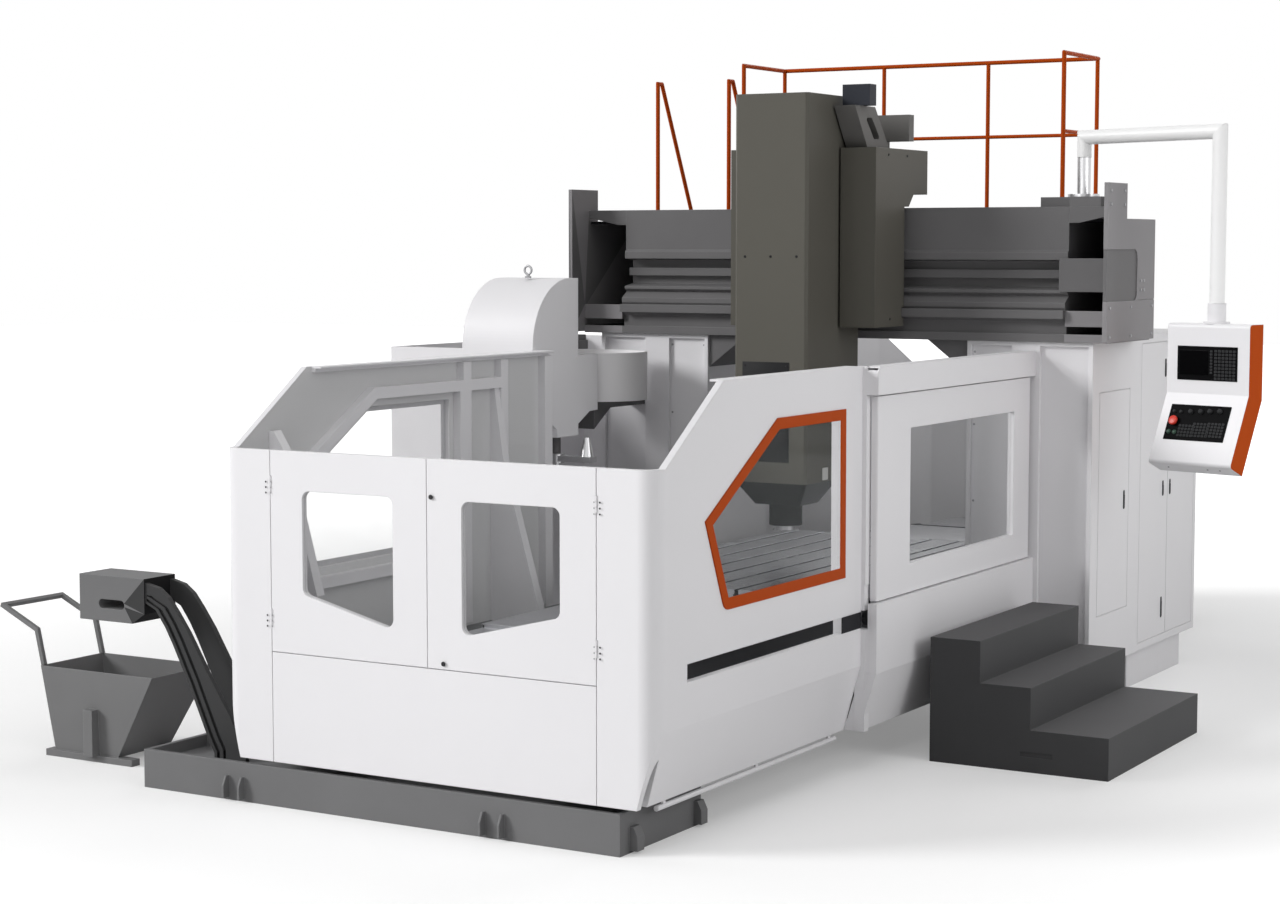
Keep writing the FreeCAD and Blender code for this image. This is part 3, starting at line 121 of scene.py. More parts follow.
def bevel_and_edge_highlight(place, radius):
    """Softened normal, and a mask that is 1 on outer edges and corners, where a paler tone paints a
    highlight.
    """
    soft = place.node("ShaderNodeBevel", {"samples": 4}, {"Radius": radius})
    true = place.node("ShaderNodeNewGeometry", output="Normal")
    same = place.node("ShaderNodeVectorMath", {"operation": "DOT_PRODUCT"}, {0: soft, 1: true}, "Value")
    return soft, ((1 - same) * 6.0).clamped()


def cast_paint(name, colour, rough=0.5, grain=0.35, shine=0.12):
    """Thick machine enamel over a casting, a little uneven, with a painted highlight that brightens the
    edges.
    """
    material, place = start_finish(name)
    skin = place.noise(90.0, 3.0)
    cloud = place.noise(2.1, 3.0)
    soft, edge = bevel_and_edge_highlight(place, 0.006)
    darker = tuple(c * 0.82 for c in colour)
    edge_highlight_tone = tuple(min(1.0, c * 1.25 + 0.02) for c in colour)
    # Outer edges blend toward a paler tone: a painted highlight.
    tone = edge.blend(cloud.blend(darker, colour), edge_highlight_tone)
    bump = place.node("ShaderNodeBump", inputs={"Strength": grain, "Distance": 0.0006, "Height": skin,
                                                "Normal": soft})
    close_finish(place, {"Base Color": tone, "Roughness": cloud * 0.16 + rough, "Normal": bump,
                         "Specular IOR Level": shine})
    return material


def ground_metal(name, colour, rough=0.22, stretch=(1, 60, 60)):
    """Ground steel: fine straight grinding marks, a duller film in patches, and a painted highlight on the
    edges.
    """
    material, place = start_finish(name)
    marks = place.noise(14.0, 4.0, stretch)
    film = place.noise(3.5, 3.0)
    soft, edge = bevel_and_edge_highlight(place, 0.002)
    darker = tuple(c * 0.72 for c in colour)
    edge_highlight_tone = tuple(min(1.0, c * 1.2) for c in colour)
    # Outer edges blend toward a paler tone: a painted highlight.
    tone = edge.blend((marks * film).blend(colour, darker), edge_highlight_tone)
    bump = place.node("ShaderNodeBump", inputs={"Strength": 0.12, "Distance": 0.0004, "Height": marks,
                                                "Normal": soft})
    close_finish(place, {"Base Color": tone, "Roughness": film * 0.2 + marks * 0.1 + rough, "Metallic": 1.0,
                         "Normal": bump})
    return material


def finish_node(node, *materials, choose=None, slot=None):
    """Gives a piece of the frame its finish; choose picks a material by the middle of a face."""
    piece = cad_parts[node]
    piece.data.materials.clear()
    for material in materials:
        piece.data.materials.append(material)
    for face in piece.data.polygons:
        face.material_index = choose(face.center, face.normal) if choose else 0
        face.use_smooth = False


def fastener_tree():
    """Round or six-sided heads on points, each turned to the point's own facing."""
    tree = bpy.data.node_groups.new("fasteners", "GeometryNodeTree")
    tree.interface.new_socket("Places", in_out="INPUT", socket_type="NodeSocketGeometry")
    for name, value in (("Head radius", 0.006), ("Head height", 0.004), ("Recess share", 0.5)):
        tree.interface.new_socket(name, in_out="INPUT", socket_type="NodeSocketFloat").default_value = value
    tree.interface.new_socket("Corners", in_out="INPUT", socket_type="NodeSocketInt").default_value = 12
    tree.interface.new_socket("Finish", in_out="INPUT", socket_type="NodeSocketMaterial")
    tree.interface.new_socket("Heads", in_out="OUTPUT", socket_type="NodeSocketGeometry")
    base = Socket(tree)
    given = base.node("NodeGroupInput")
    ends = {name: Socket(tree, given.output.node.outputs[name])
            for name in ("Places", "Head radius", "Head height", "Recess share", "Corners", "Finish")}
    radius = ends["Head radius"]
    height = ends["Head height"]
    blank = base.node("GeometryNodeMeshCone", inputs={"Vertices": ends["Corners"], "Radius Bottom": radius,
                                                      "Radius Top": radius * 0.88, "Depth": height})
    top = Socket(tree, blank.output.node.outputs["Top"])
    rim = base.node("GeometryNodeExtrudeMesh", inputs={"Mesh": blank, "Selection": top, "Offset Scale": 0.0})
    rim_top = Socket(tree, rim.output.node.outputs["Top"])
    inner = base.node("GeometryNodeScaleElements", inputs={"Geometry": rim, "Selection": rim_top,
                                                           "Scale": ends["Recess share"]})
    sunk = base.node("GeometryNodeExtrudeMesh", inputs={"Mesh": inner, "Selection": rim_top,
                                                        "Offset Scale": height * -0.6})
    turn = base.node("GeometryNodeInputNamedAttribute", {"data_type": "FLOAT_VECTOR"}, {"Name": "facing"})
    turned = base.node("FunctionNodeAlignRotationToVector", {"axis": "Z"}, {"Vector": turn})
    heads = base.node("GeometryNodeInstanceOnPoints", inputs={"Points": ends["Places"], "Instance": sunk,
                                                              "Rotation": turned})
    real = base.node("GeometryNodeRealizeInstances", inputs={"Geometry": heads})
    done = base.node("GeometryNodeSetMaterial", inputs={"Geometry": real, "Material": ends["Finish"]})
    base.node("NodeGroupOutput", inputs={"Heads": done}, output=None)
    return tree


def from_nodes(name, tree, start_mesh, values, body):
    """Runs a node tree on a mesh and keeps the result as a plain mesh piece."""
    maker = bpy.data.objects.new(name + "_maker", start_mesh)
    bpy.context.scene.collection.objects.link(maker)
    modifier = maker.modifiers.new("make", "NODES")
    modifier.node_group = tree
    for item in tree.interface.items_tree:
        if item.in_out == "INPUT" and item.name in values:
            modifier[item.identifier] = values[item.name]
    bpy.context.view_layer.update()
    made = bpy.data.meshes.new_from_object(maker.evaluated_get(bpy.context.evaluated_depsgraph_get()))
    maker.modifiers.remove(modifier)
    bpy.data.objects.remove(maker)
    made.name = name
    piece = bpy.data.objects.new(name, made)
    bpy.context.scene.collection.objects.link(piece)
    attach(piece, body)
    return piece


FASTENERS = fastener_tree()
UP = (0, 0, 1)
DOWN = (0, 0, -1)
FRONT = (0, -1, 0)


def fasteners(name, places, facing, material, body, radius, height=0.004, corners=12, recess=0.5):
    """A set of like screws or bolts on one body; facing is one vector, or one for each place."""
    start = bpy.data.meshes.new(name + "_places")
    start.from_pydata([tuple(p) for p in places], [], [])
    ways = facing if isinstance(facing, list) else [facing] * len(places)
    store = start.attributes.new("facing", "FLOAT_VECTOR", "POINT")
    store.data.foreach_set("vector", [c for way in ways for c in way])
    values = {"Head radius": radius, "Head height": height, "Recess share": recess, "Corners": corners,
              "Finish": material}
    return from_nodes(name, FASTENERS, start, values, body)


def row(first, last, count):
    """Evenly spaced places from first to last."""
    first, last = Vector(first), Vector(last)
    return [first.lerp(last, i / (count - 1)) for i in range(count)]


bed_enamel = cast_paint("bed_enamel", (0.16, 0.162, 0.168))
rail_steel = ground_metal("rail_steel", (0.62, 0.62, 0.63), rough=0.16, stretch=(60, 1, 60))
bolt_steel = ground_metal("bolt_steel", (0.34, 0.34, 0.35), rough=0.3, stretch=(1, 1, 1))
finish_node("bed", bed_enamel, slot="grey_cast")
finish_node("bed_rails", rail_steel, slot="ground_steel")
RAIL_HALF = 0.0325
RAIL_BOLT_GAP = 0.12
RAIL_BOLT_END = 0.06
rail_low, rail_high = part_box("bed_rails")
rail_mid = rail_high.x - RAIL_HALF
bolt_count = int((rail_high.y - rail_low.y) / RAIL_BOLT_GAP)
rail_bolts = [p for side in (-1, 1)
              for p in row((side * rail_mid, rail_low.y + RAIL_BOLT_END, rail_high.z),
                           (side * rail_mid, rail_high.y - RAIL_BOLT_END, rail_high.z), bolt_count)]
fasteners("bed_rail_bolts", rail_bolts, UP, bolt_steel, "machine",
          radius=0.011, height=0.0015)

# Table
# The moving table is one ground iron casting with T-slots along its length for clamping the work.
# Four guide blocks under each side run on the rails.
table_iron = ground_metal("table_iron", (0.5, 0.51, 0.53), rough=0.1, stretch=(70, 1, 70))
block_steel = cast_paint("block_steel", (0.07, 0.07, 0.075), rough=0.4)
finish_node("table", table_iron, slot="table_iron")
finish_node("table_blocks", block_steel, slot="dark_steel")


def shape_of():
    """Empty shape that the parts of one piece are added to."""
    return bmesh.new()


def bar(shape, low, high, edge=0.0, place=None):
    """Adds a box between two corners, with its edges rounded."""
    made = bmesh.ops.create_cube(shape, size=1.0)["verts"]
    low, high = Vector(low), Vector(high)
    size = high - low
    for corner in made:
        corner.co = low + Vector((corner.co[i] + 0.5) * size[i] for i in range(3))
    if edge:
        edges = list({e for v in made for e in v.link_edges})
        made = [v for v in bmesh.ops.bevel(shape, geom=edges, offset=edge, segments=2, affect="EDGES",
                                           profile=0.5)["verts"]] + [v for v in made if v.is_valid]
    if place:
        bmesh.ops.transform(shape, matrix=place, verts=list({v for v in made if v.is_valid}))


def turned(shape, profile, centre, axis=UP, sides=32, place=None):
    """Adds a lathe part: pairs of radius and height along an axis, closed at both ends."""
    grip = Vector((0, 0, 1)).rotation_difference(Vector(axis)).to_matrix().to_4x4()
    matrix = (place or Matrix()) @ Matrix.Translation(centre) @ grip
    rings = [[shape.verts.new(matrix @ Vector((r * math.cos(math.tau * i / sides),
                                               r * math.sin(math.tau * i / sides), h))) for i in range(sides)]
             for r, h in profile]
    for a, b in zip(rings, rings[1:]):
        for i in range(sides):
            shape.faces.new((a[i], a[(i + 1) % sides], b[(i + 1) % sides], b[i]))
    shape.faces.new(rings[0][::-1])
    shape.faces.new(rings[-1])


def slab(shape, outline, low, high, axis="y", place=None):
    """Adds a flat outline drawn out from low to high along one axis."""
    def corner(a, b, c):
        return Vector({"x": (c, a, b), "y": (a, c, b), "z": (a, b, c)}[axis])
    ends = [[shape.verts.new((place or Matrix()) @ corner(a, b, c)) for a, b in outline] for c in (low, high)]
    count = len(outline)
    for i in range(count):
        shape.faces.new((ends[0][i], ends[0][(i + 1) % count], ends[1][(i + 1) % count], ends[1][i]))
    shape.faces.new(ends[0][::-1])
    shape.faces.new(ends[1])


def rounded(x0, x1, z0, z1, r, steps=5):
    """Outline of a rectangle with round corners."""
    points = []
    centres = ((x1 - r, z1 - r, 0), (x0 + r, z1 - r, 90), (x0 + r, z0 + r, 180), (x1 - r, z0 + r, 270))
    for cx, cz, start in centres:
        for i in range(steps + 1):
            angle = math.radians(start + 90 * i / steps)
            points.append((cx + r * math.cos(angle), cz + r * math.sin(angle)))
    return points


def make(name, shape, material, body, smooth=35.0):
    """Ends a shape: outward faces, smooth only where it is round, and the piece rides its body."""
    bmesh.ops.recalc_face_normals(shape, faces=shape.faces)
    for face in shape.faces:
        face.smooth = True
    for edge in shape.edges:
        edge.smooth = len(edge.link_faces) == 2 and edge.calc_face_angle(0.0) < math.radians(smooth)
    mesh = bpy.data.meshes.new(name)
    shape.to_mesh(mesh)
    shape.free()
    mesh.materials.append(material)
    piece = bpy.data.objects.new(name, mesh)
    bpy.context.scene.collection.objects.link(piece)
    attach(piece, body)
    return piece


# Telescopic way covers
# Folded stainless sheet boxes that slide over each other and keep chips off the ways. Each has a
# black rubber wiper along its free edge, held down by a row of small screws.
cover_steel = ground_metal("cover_steel", (0.52, 0.52, 0.54), rough=0.24, stretch=(1, 45, 45))
for node in ("way_covers_fixed", "front_cover_middle", "rear_cover_middle", "way_covers_moving"):
    finish_node(node, cover_steel, slot="cover_steel")


def rubber(name, colour=(0.018, 0.018, 0.02)):
    """Black rubber with a dry, faintly uneven surface."""
    material, place = start_finish(name)
    skin = place.noise(240.0, 3.0)
    bump = place.node("ShaderNodeBump", inputs={"Strength": 0.2, "Distance": 0.0005, "Height": skin})
    tone = skin.blend(colour, tuple(c * 1.8 for c in colour))
    close_finish(place, {"Base Color": tone, "Roughness": skin * 0.2 + 0.6, "Normal": bump,
                         "Specular IOR Level": 0.06})
    return material


black_rubber = rubber("black_rubber")
WIPER_DEEP = 0.03
WIPER_INSET = 0.004
WIPER_SEAT = 0.0002
WIPER_TOP = 0.004
WIPER_SCREW_Z = 0.006
WIPER_SCREW_IN = 0.05
WIPER_SCREWS = 9
wiper_places = {"front_cover_middle": ("front_cover", 1), "rear_cover_middle": ("rear_cover", -1)}
for node, (body, way) in wiper_places.items():
    low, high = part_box(node)
    free = low.y if way > 0 else high.y
    held = free + way * WIPER_DEEP
    middle = free + way * WIPER_DEEP / 2
    shape = shape_of()
    bar(shape, (low.x + WIPER_INSET, min(free, held), high.z + WIPER_SEAT),
        (high.x - WIPER_INSET, max(free, held), high.z + WIPER_TOP), 0.001)
    make(node + "_wiper", shape, black_rubber, body)
    screws = row((low.x + WIPER_SCREW_IN, middle, high.z + WIPER_SCREW_Z),
                 (high.x - WIPER_SCREW_IN, middle, high.z + WIPER_SCREW_Z), WIPER_SCREWS)
    fasteners(node + "_screws", screws, UP, bolt_steel, body,
              radius=0.006, height=0.002)

# Columns
# Two upright castings under smooth white sheet covers. The front panels are framed and sunk, and
# an access door is let into the outer side, hung on hidden hinges with a flush latch.


def powder_coat(name, colour, rough=0.4, shine=0.4, low_dust=0.05):
    """Powder coat on sheet: fine orange peel, slightly uneven gloss, dust that settles low down, and a
    painted highlight on the edges.
    """
    material, place = start_finish(name)
    peel = place.noise(330.0, 2.0)
    cloud = place.noise(1.1, 3.0)
    height = place.node("ShaderNodeSeparateXYZ", inputs={"Vector": place}, output="Z")
    dust = (1 - height * 1.6).clamped() * place.noise(7.0, 4.0) * low_dust
    soft, edge = bevel_and_edge_highlight(place, 0.007)
    dusty = (0.42, 0.4, 0.37)
    darker = tuple(c * 0.965 for c in colour)
    edge_highlight_tone = tuple(min(1.0, c * 1.05) for c in colour)
    # Outer edges blend toward a paler tone: a painted highlight.
    tone = edge.blend(dust.blend(cloud.blend(darker, colour), dusty), edge_highlight_tone)
    bump = place.node("ShaderNodeBump", inputs={"Strength": 0.08, "Distance": 0.0004, "Height": peel,
                                                "Normal": soft})
    close_finish(place, {"Base Color": tone, "Roughness": cloud * 0.12 + dust + rough, "Normal": bump,
                         "Specular IOR Level": shine})
    return material


white_coat = powder_coat("white_coat", (0.78, 0.772, 0.79))
latch_plastic = cast_paint("latch_plastic", (0.035, 0.035, 0.038), rough=0.45, grain=0.1)
finish_node("right_column", white_coat, slot="white_sheet")
finish_node("left_column", white_coat, slot="white_sheet")
CUP_HALF = 0.013
CUP_PROUD = 0.003
LEVER_HALF = 0.008
LEVER_PROUD = 0.006
LEVER_BELOW = 0.008
LEVER_ABOVE = 0.03


def latch(shape, y, z, long, x):
    """Flush latch in a door on the outer side: a narrow cup with the lever in it."""
    low = z - long / 2
    high = z + long / 2
    slab(shape, rounded(y - CUP_HALF, y + CUP_HALF, low, high, 0.012), x, x + CUP_PROUD, "x")
    slab(shape, rounded(y - LEVER_HALF, y + LEVER_HALF, low + LEVER_BELOW, high - LEVER_ABOVE, 0.007),
         x, x + LEVER_PROUD, "x")


DOOR_LATCH_Y = 1.365
DOOR_LATCH_Z = 1.365
DOOR_LATCH_LONG = 0.13
column_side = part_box("right_column")[1].x
shape = shape_of()
latch(shape, DOOR_LATCH_Y, DOOR_LATCH_Z, DOOR_LATCH_LONG, column_side)
make("column_door_latch", shape, latch_plastic, "machine")
shape = shape_of()
latch(shape, -DOOR_LATCH_Y, DOOR_LATCH_Z, DOOR_LATCH_LONG, 0.0)
bmesh.ops.rotate(shape, verts=shape.verts, cent=(0, 0, 0), matrix=Matrix.Rotation(math.pi, 3, "Z"))
bmesh.ops.translate(shape, verts=shape.verts, vec=(-column_side, 0, 0))
make("left_column_door_latch", shape, latch_plastic, "machine")
PANEL_X = (1.045, 1.305)
PANEL_FACE = 0.745
PANEL_SCREW_Z = (0.33, 0.85, 1.37, 1.89, 2.38)
panel_screws = [(s * x, PANEL_FACE, z) for s in (-1, 1) for x in PANEL_X for z in PANEL_SCREW_Z]
fasteners("column_panel_screws", panel_screws, FRONT, bolt_steel, "machine",
          radius=0.008, height=0.003)

# Control cabinet
# The sheet-metal cabinet behind the right column holds the drives. Its two doors meet in the
# middle and have recessed lever latches with small hinge covers above and below.
finish_node("control_cabinet", white_coat, slot="white_sheet")
CABINET_LATCHES = ((2.19, 1.373, 0.11), (2.345, 1.371, 0.11), (2.193, 0.518, 0.15), (2.206, 2.23, 0.13))
shape = shape_of()
for y, z, long in CABINET_LATCHES:
    latch(shape, y, z, long, column_side)
make("cabinet_latches", shape, latch_plastic, "machine")

# Crossbeam
# A heavy grey box casting across both columns, stepped in front where the saddle runs. Its two
# hardened rails are bolted on along the whole length.
beam_enamel = cast_paint("beam_enamel", (0.172, 0.169, 0.172), rough=0.45, grain=0.3, shine=0.1)
finish_node("crossbeam", beam_enamel, slot="beam_grey")
finish_node("beam_rails", beam_enamel, slot="ground_steel")
beam_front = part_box("crossbeam")[0].y

# Beam ends
# Sheet housings closed by thick end plates. The cross drive sits in the open bay between plate
# and beam, and the notch in the plate leaves room to reach its motor.
end_enamel = cast_paint("end_enamel", (0.28, 0.272, 0.28), rough=0.48, grain=0.15, shine=0.15)
# Near-black paint on the open bay's inner faces: painted shade inside the bay.
bay_painted_shade = cast_paint("bay_painted_shade", (0.012, 0.012, 0.013), rough=0.7, grain=0.2, shine=0.0)
end_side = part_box("beam_ends")[1].x
NEAR = 0.001
PLATE_T = 0.03
SUNK = 0.004
STRIP_DEEP = 0.04
STRIP_HIGH = 2.67
LIP_DEEP = 0.08
NOTCH_REAR = 1.105
NOTCH_LOW = 2.725
NOTCH_HIGH = 3.075


def end_finish(middle, way):
    """Paler plates and lower strip, the beam's grey on the notch's cover and lips, and near-black painted
    shade on the bay's inner faces.
    """
    outer = abs(middle.x) > end_side - PLATE_T - NEAR
    strip = middle.y < beam_front + STRIP_DEEP and middle.z < STRIP_HIGH
    notch = middle.y < NOTCH_REAR and NOTCH_LOW < middle.z < NOTCH_HIGH
    cover = notch and abs(middle.x) < end_side - SUNK
    if outer and cover:
        return 1
    if outer or strip:
        return 0
    return 1 if way.y < -0.5 and middle.y < beam_front + LIP_DEEP else 2


def sideways(places, sign=1):
    """Facing of each place: along X, away from the machine's middle, or toward it if sign is -1."""
    return [(math.copysign(1, sign * place[0]), 0, 0) for place in places]


finish_node("beam_ends", end_enamel, beam_enamel, bay_painted_shade, choose=end_finish, slot="beam_grey")
TOP_BOLTS = ((0.57, 0.83), (3.45, 3.36))
LOW_BOLTS = ((0.57, 0.98, 1.40), (2.50, 2.69))
DRIVE_BOLTS = ((1.17, 1.23), (2.80, 2.86))
plate_bolts = [(side * end_side, y, z) for side in (-1, 1)
               for across, up in (TOP_BOLTS, LOW_BOLTS, DRIVE_BOLTS) for y in across for z in up]
fasteners("end_plate_bolts", plate_bolts, sideways(plate_bolts), bolt_steel, "machine",
          radius=0.012, height=0.006, corners=6, recess=0.3)

# Saddle
# The carriage that crosses the beam and guides the ram, covered in dark olive sheet. The feed
# motor stands on a folded bracket beside the ram, with a terminal box behind it.
olive_sheet = powder_coat("olive_sheet", (0.105, 0.1, 0.085), rough=0.4, shine=0.16, low_dust=0.0)
motor_paint = cast_paint("motor_paint", (0.03, 0.033, 0.042), rough=0.4)
stand_sheet = powder_coat("stand_sheet", (0.15, 0.146, 0.14), rough=0.4, shine=0.15, low_dust=0.0)
STAND_TOP = 4.02
SADDLE_TOP = 3.745


def saddle_finish(middle, way):
    """The motor on top, its bracket below that, and the olive cover elsewhere."""
    if middle.z > STAND_TOP - NEAR:
        return 1
    if middle.z > SADDLE_TOP + NEAR:
        return 2
    return 0


finish_node("saddle", olive_sheet, motor_paint, stand_sheet, choose=saddle_finish, slot="olive_cover")
dark_screw = cast_paint("dark_screw", (0.02, 0.02, 0.021), rough=0.4, grain=0.1)
SADDLE_SIDE = 0.545
SADDLE_SCREWS = ((0.42, 3.70), (0.72, 3.70), (0.46, 2.60))
saddle_screws = [(s * SADDLE_SIDE, y, z) for s in (-1, 1) for y, z in SADDLE_SCREWS]
fasteners("saddle_screws", saddle_screws, sideways(saddle_screws), dark_screw, "saddle",
          radius=0.009, height=0.003)

# Ram
# The upright head slides in the saddle. Its long bevelled cover is painted dark olive, and the
# cast tip below narrows to a round nose that holds the spindle bearings.
tip_enamel = cast_paint("tip_enamel", (0.02, 0.02, 0.021), rough=0.4, grain=0.2, shine=0.08)
RAM_TIP_TOP = 1.52


def ram_finish(middle, way):
    return 1 if middle.z < RAM_TIP_TOP - NEAR else 0


finish_node("ram", olive_sheet, tip_enamel, choose=ram_finish, slot="olive_cover")
finish_node("ram_rails", rail_steel, slot="ground_steel")
RAM_FACE = -0.24
LOWER_PLATE_X = (-0.205, 0.142)
LOWER_PLATE_Z = (1.66, 2.325)
LOWER_PLATE_T = 0.004
LOWER_SCREW_X = (-0.185, 0.122)
LOWER_SCREW_Z = (1.69, 2.0, 2.3)
plate_face = RAM_FACE - LOWER_PLATE_T
shape = shape_of()
bar(shape, (LOWER_PLATE_X[0], plate_face, LOWER_PLATE_Z[0]),
    (LOWER_PLATE_X[1], RAM_FACE, LOWER_PLATE_Z[1]), 0.001)
make("ram_lower_plate", shape, tip_enamel, "ram")
plate_screws = [(x, plate_face, z) for x in LOWER_SCREW_X for z in LOWER_SCREW_Z]
fasteners("ram_plate_screws", plate_screws, FRONT, dark_screw, "ram",
          radius=0.007, height=0.003)
COVER_SCREW_X = (-0.191, 0.0, 0.191)
COVER_SCREW_Z = 3.022
ram_screws = [(x, RAM_FACE, COVER_SCREW_Z) for x in COVER_SCREW_X]
fasteners("ram_screws", ram_screws, FRONT, dark_screw, "ram", radius=0.009, height=0.003)
bare_plate = powder_coat("bare_plate", (0.62, 0.62, 0.6), rough=0.4, shine=0.2, low_dust=0.0)
BARE_PLATE_Y = (0.004, 0.086)
BARE_PLATE_Z = (1.531, 1.613)
BARE_PLATE_T = 0.002
ram_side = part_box("ram")[1].x
shape = shape_of()
slab(shape, rounded(*BARE_PLATE_Y, *BARE_PLATE_Z, 0.006), ram_side, ram_side + BARE_PLATE_T, "x")
make("ram_bare_plate", shape, bare_plate, "ram")

# Spindle
# The turning spindle nose, ground steel with a taper bore and two drive keys across its face.
finish_node("spindle", rail_steel, slot="ground_steel")
nose_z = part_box("spindle")[0].z
KEY_OUT = 0.05
KEY_LONG = 0.026
KEY_WIDE = 0.022
KEY_DEEP = 0.012
shape = shape_of()
for side in (-1, 1):
    bar(shape, (side * KEY_OUT - KEY_LONG / 2, -KEY_WIDE / 2, nose_z - KEY_DEEP),
        (side * KEY_OUT + KEY_LONG / 2, KEY_WIDE / 2, nose_z), 0.001)
make("spindle_keys", shape, bolt_steel, "spindle")
NOSE_BOLTS = 8
NOSE_BOLT_R = 0.088
turns = [math.tau * i / NOSE_BOLTS for i in range(NOSE_BOLTS)]
nose_bolts = [(NOSE_BOLT_R * math.cos(a), NOSE_BOLT_R * math.sin(a), nose_z) for a in turns]
fasteners("nose_bolts", nose_bolts, DOWN, bolt_steel, "ram",
          radius=0.007, height=0.004)

# Chip floor
# Galvanised sheets inside the guard slope down to the bed, so that chips and coolant run off.
# Toward the rear they narrow with the guard round them.
floor_sheet = cast_paint("floor_sheet", (0.2, 0.2, 0.205), rough=0.4, grain=0.3, shine=0.3)
TAPER_Y = 4.4
TAPER_IN = 0.22
TAPER_X0 = 1.0
rear_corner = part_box("rear_guard")[1]


def drawn_in(node, name, material):
    """The node's own sheets, cut across at the bend and drawn in toward the rear corners."""
    shape = shape_of()
    shape.from_mesh(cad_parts[node].data)
    bmesh.ops.bisect_plane(shape, geom=shape.verts[:] + shape.edges[:] + shape.faces[:],
                           plane_co=(0, TAPER_Y, 0), plane_no=(0, 1, 0))
    for corner in shape.verts:
        reach = (corner.co.y - TAPER_Y) / (rear_corner.y - TAPER_Y)
        share = (abs(corner.co.x) - TAPER_X0) / (rear_corner.x - TAPER_X0)
        if reach > 0 and share > 0:
            corner.co.x -= math.copysign(TAPER_IN * reach * share, corner.co.x)
    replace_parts(make(name, shape, material, "machine"), node)


drawn_in("chip_floor", "chip_floor_sheets", floor_sheet)

# Side guards
# Folded sheet panels round the working space, powder coated white, with rounded front corners.
# Posts, rails and gussets stiffen them inside, and screws hold them together.
# A darker grey copy of the white coat for the guards' inner wall faces: painted shade.
shaded_inner_coat = powder_coat("shaded_inner_coat", (0.66, 0.66, 0.665), rough=0.45, shine=0.15, low_dust=0.0)
INNER_WALL = 1.345


def guard_finish(middle, way):
    """A darker grey copy of the white coat on the side walls' inner faces: painted shade."""
    inward = way.x * middle.x < 0 and abs(way.x) > 0.9
    return 1 if inward and abs(middle.x) > INNER_WALL else 0


finish_node("right_front_guard", white_coat, shaded_inner_coat, choose=guard_finish, slot="white_sheet")
finish_node("left_front_guard", white_coat, shaded_inner_coat, choose=guard_finish, slot="white_sheet")
finish_node("front_sill_panel", white_coat, slot="white_sheet")
front_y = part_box("front_right_door")[0].y
HINGE_TOPS = (1.806, 1.068)
HINGE_STEP = 0.03
hinge_z = [top - HINGE_STEP * i for top in HINGE_TOPS for i in range(3)]
GUARD_HINGE_X = 1.073
guard_dots = [(s * GUARD_HINGE_X, front_y, z) for s in (-1, 1) for z in hinge_z]
fasteners("guard_hinge_screws", guard_dots, FRONT, latch_plastic, "machine",
          radius=0.0055, height=0.001)
POST_FACE = 1.319
POST_SCREW_Y = (-1.885, -1.46)
POST_SCREW_Z = (0.8, 1.0, 1.3, 1.6, 1.9, 2.2)
post_screws = [(s * POST_FACE, y, z) for s in (-1, 1) for y in POST_SCREW_Y for z in POST_SCREW_Z]
fasteners("guard_post_screws", post_screws, sideways(post_screws, -1), bolt_steel, "machine",
          radius=0.007, height=0.003)

# Magazine enclosure
# White sheet walls stand round the tool magazine, level with the guards and open above, and keep
# chips inside. They are folded from panels and screwed to the left guard and the column.
ENCLOSURE_X = -2.63
ENCLOSURE_T = 0.03
ENCLOSURE_AHEAD = 0.01
COVER_GAP = 0.003
COVER_GAP_Z = 0.01
CORNER_R = 0.03
CORNER_STEPS = 5
guard_low, guard_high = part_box("left_front_guard")
cover_low, cover_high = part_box("magazine_cover")
column_low, column_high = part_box("left_column")
cover_edge = cover_low.x - COVER_GAP
front_face = guard_high.y - ENCLOSURE_AHEAD
inner_x = ENCLOSURE_X + ENCLOSURE_T
inner_y = front_face + ENCLOSURE_T
rear_inner = column_high.y - ENCLOSURE_T
turns = [math.radians(90 * (1 - i / CORNER_STEPS)) for i in range(CORNER_STEPS + 1)]
bend = [(ENCLOSURE_X + CORNER_R * (1 - math.cos(a)), front_face + CORNER_R * (1 - math.sin(a)))
        for a in turns]
outline = [(cover_edge, inner_y), (cover_edge, front_face), *bend,
           (ENCLOSURE_X, column_high.y), (column_low.x, column_high.y), (column_low.x, rear_inner),
           (inner_x, rear_inner), (inner_x, inner_y)]
shape = shape_of()
slab(shape, outline, guard_low.z, guard_high.z, "z")
bar(shape, (cover_edge, front_face, guard_low.z), (guard_low.x, inner_y, cover_low.z - COVER_GAP_Z), 0.002)
make("magazine_enclosure", shape, white_coat, "machine")

# Rear guard
# The same white sheets close the space behind the columns. The side sheets draw in toward the
# rear corners, and screws hold them to the column and the cabinet.
drawn_in("rear_guard", "rear_guard_sheets", white_coat)

# Front doors
# Two swing doors of folded sheet with clear panes set in the cut-outs. Each hangs on two pin
# hinges with screws in the leaf, and the right one has two small round locks.
finish_node("front_right_door", white_coat, slot="white_sheet")
finish_node("front_left_door", white_coat, slot="white_sheet")


def clear_pane(name, colour=(0.1, 0.115, 0.115), opacity=0.02):
    """Clear sheet glass with a faint film, more visible toward glancing angles."""
    material, place = start_finish(name)
    film = place.noise(5.0, 4.0)
    glance = place.node("ShaderNodeLayerWeight", inputs={"Blend": 0.25}, output="Fresnel")
    tone = film.blend(colour, tuple(min(1.0, c * 1.1) for c in colour))
    close_finish(place, {"Base Color": tone, "Roughness": film * 0.08 + 0.03,
                         "Alpha": (glance * 0.12 + film * 0.03 + opacity).clamped()})
    return material


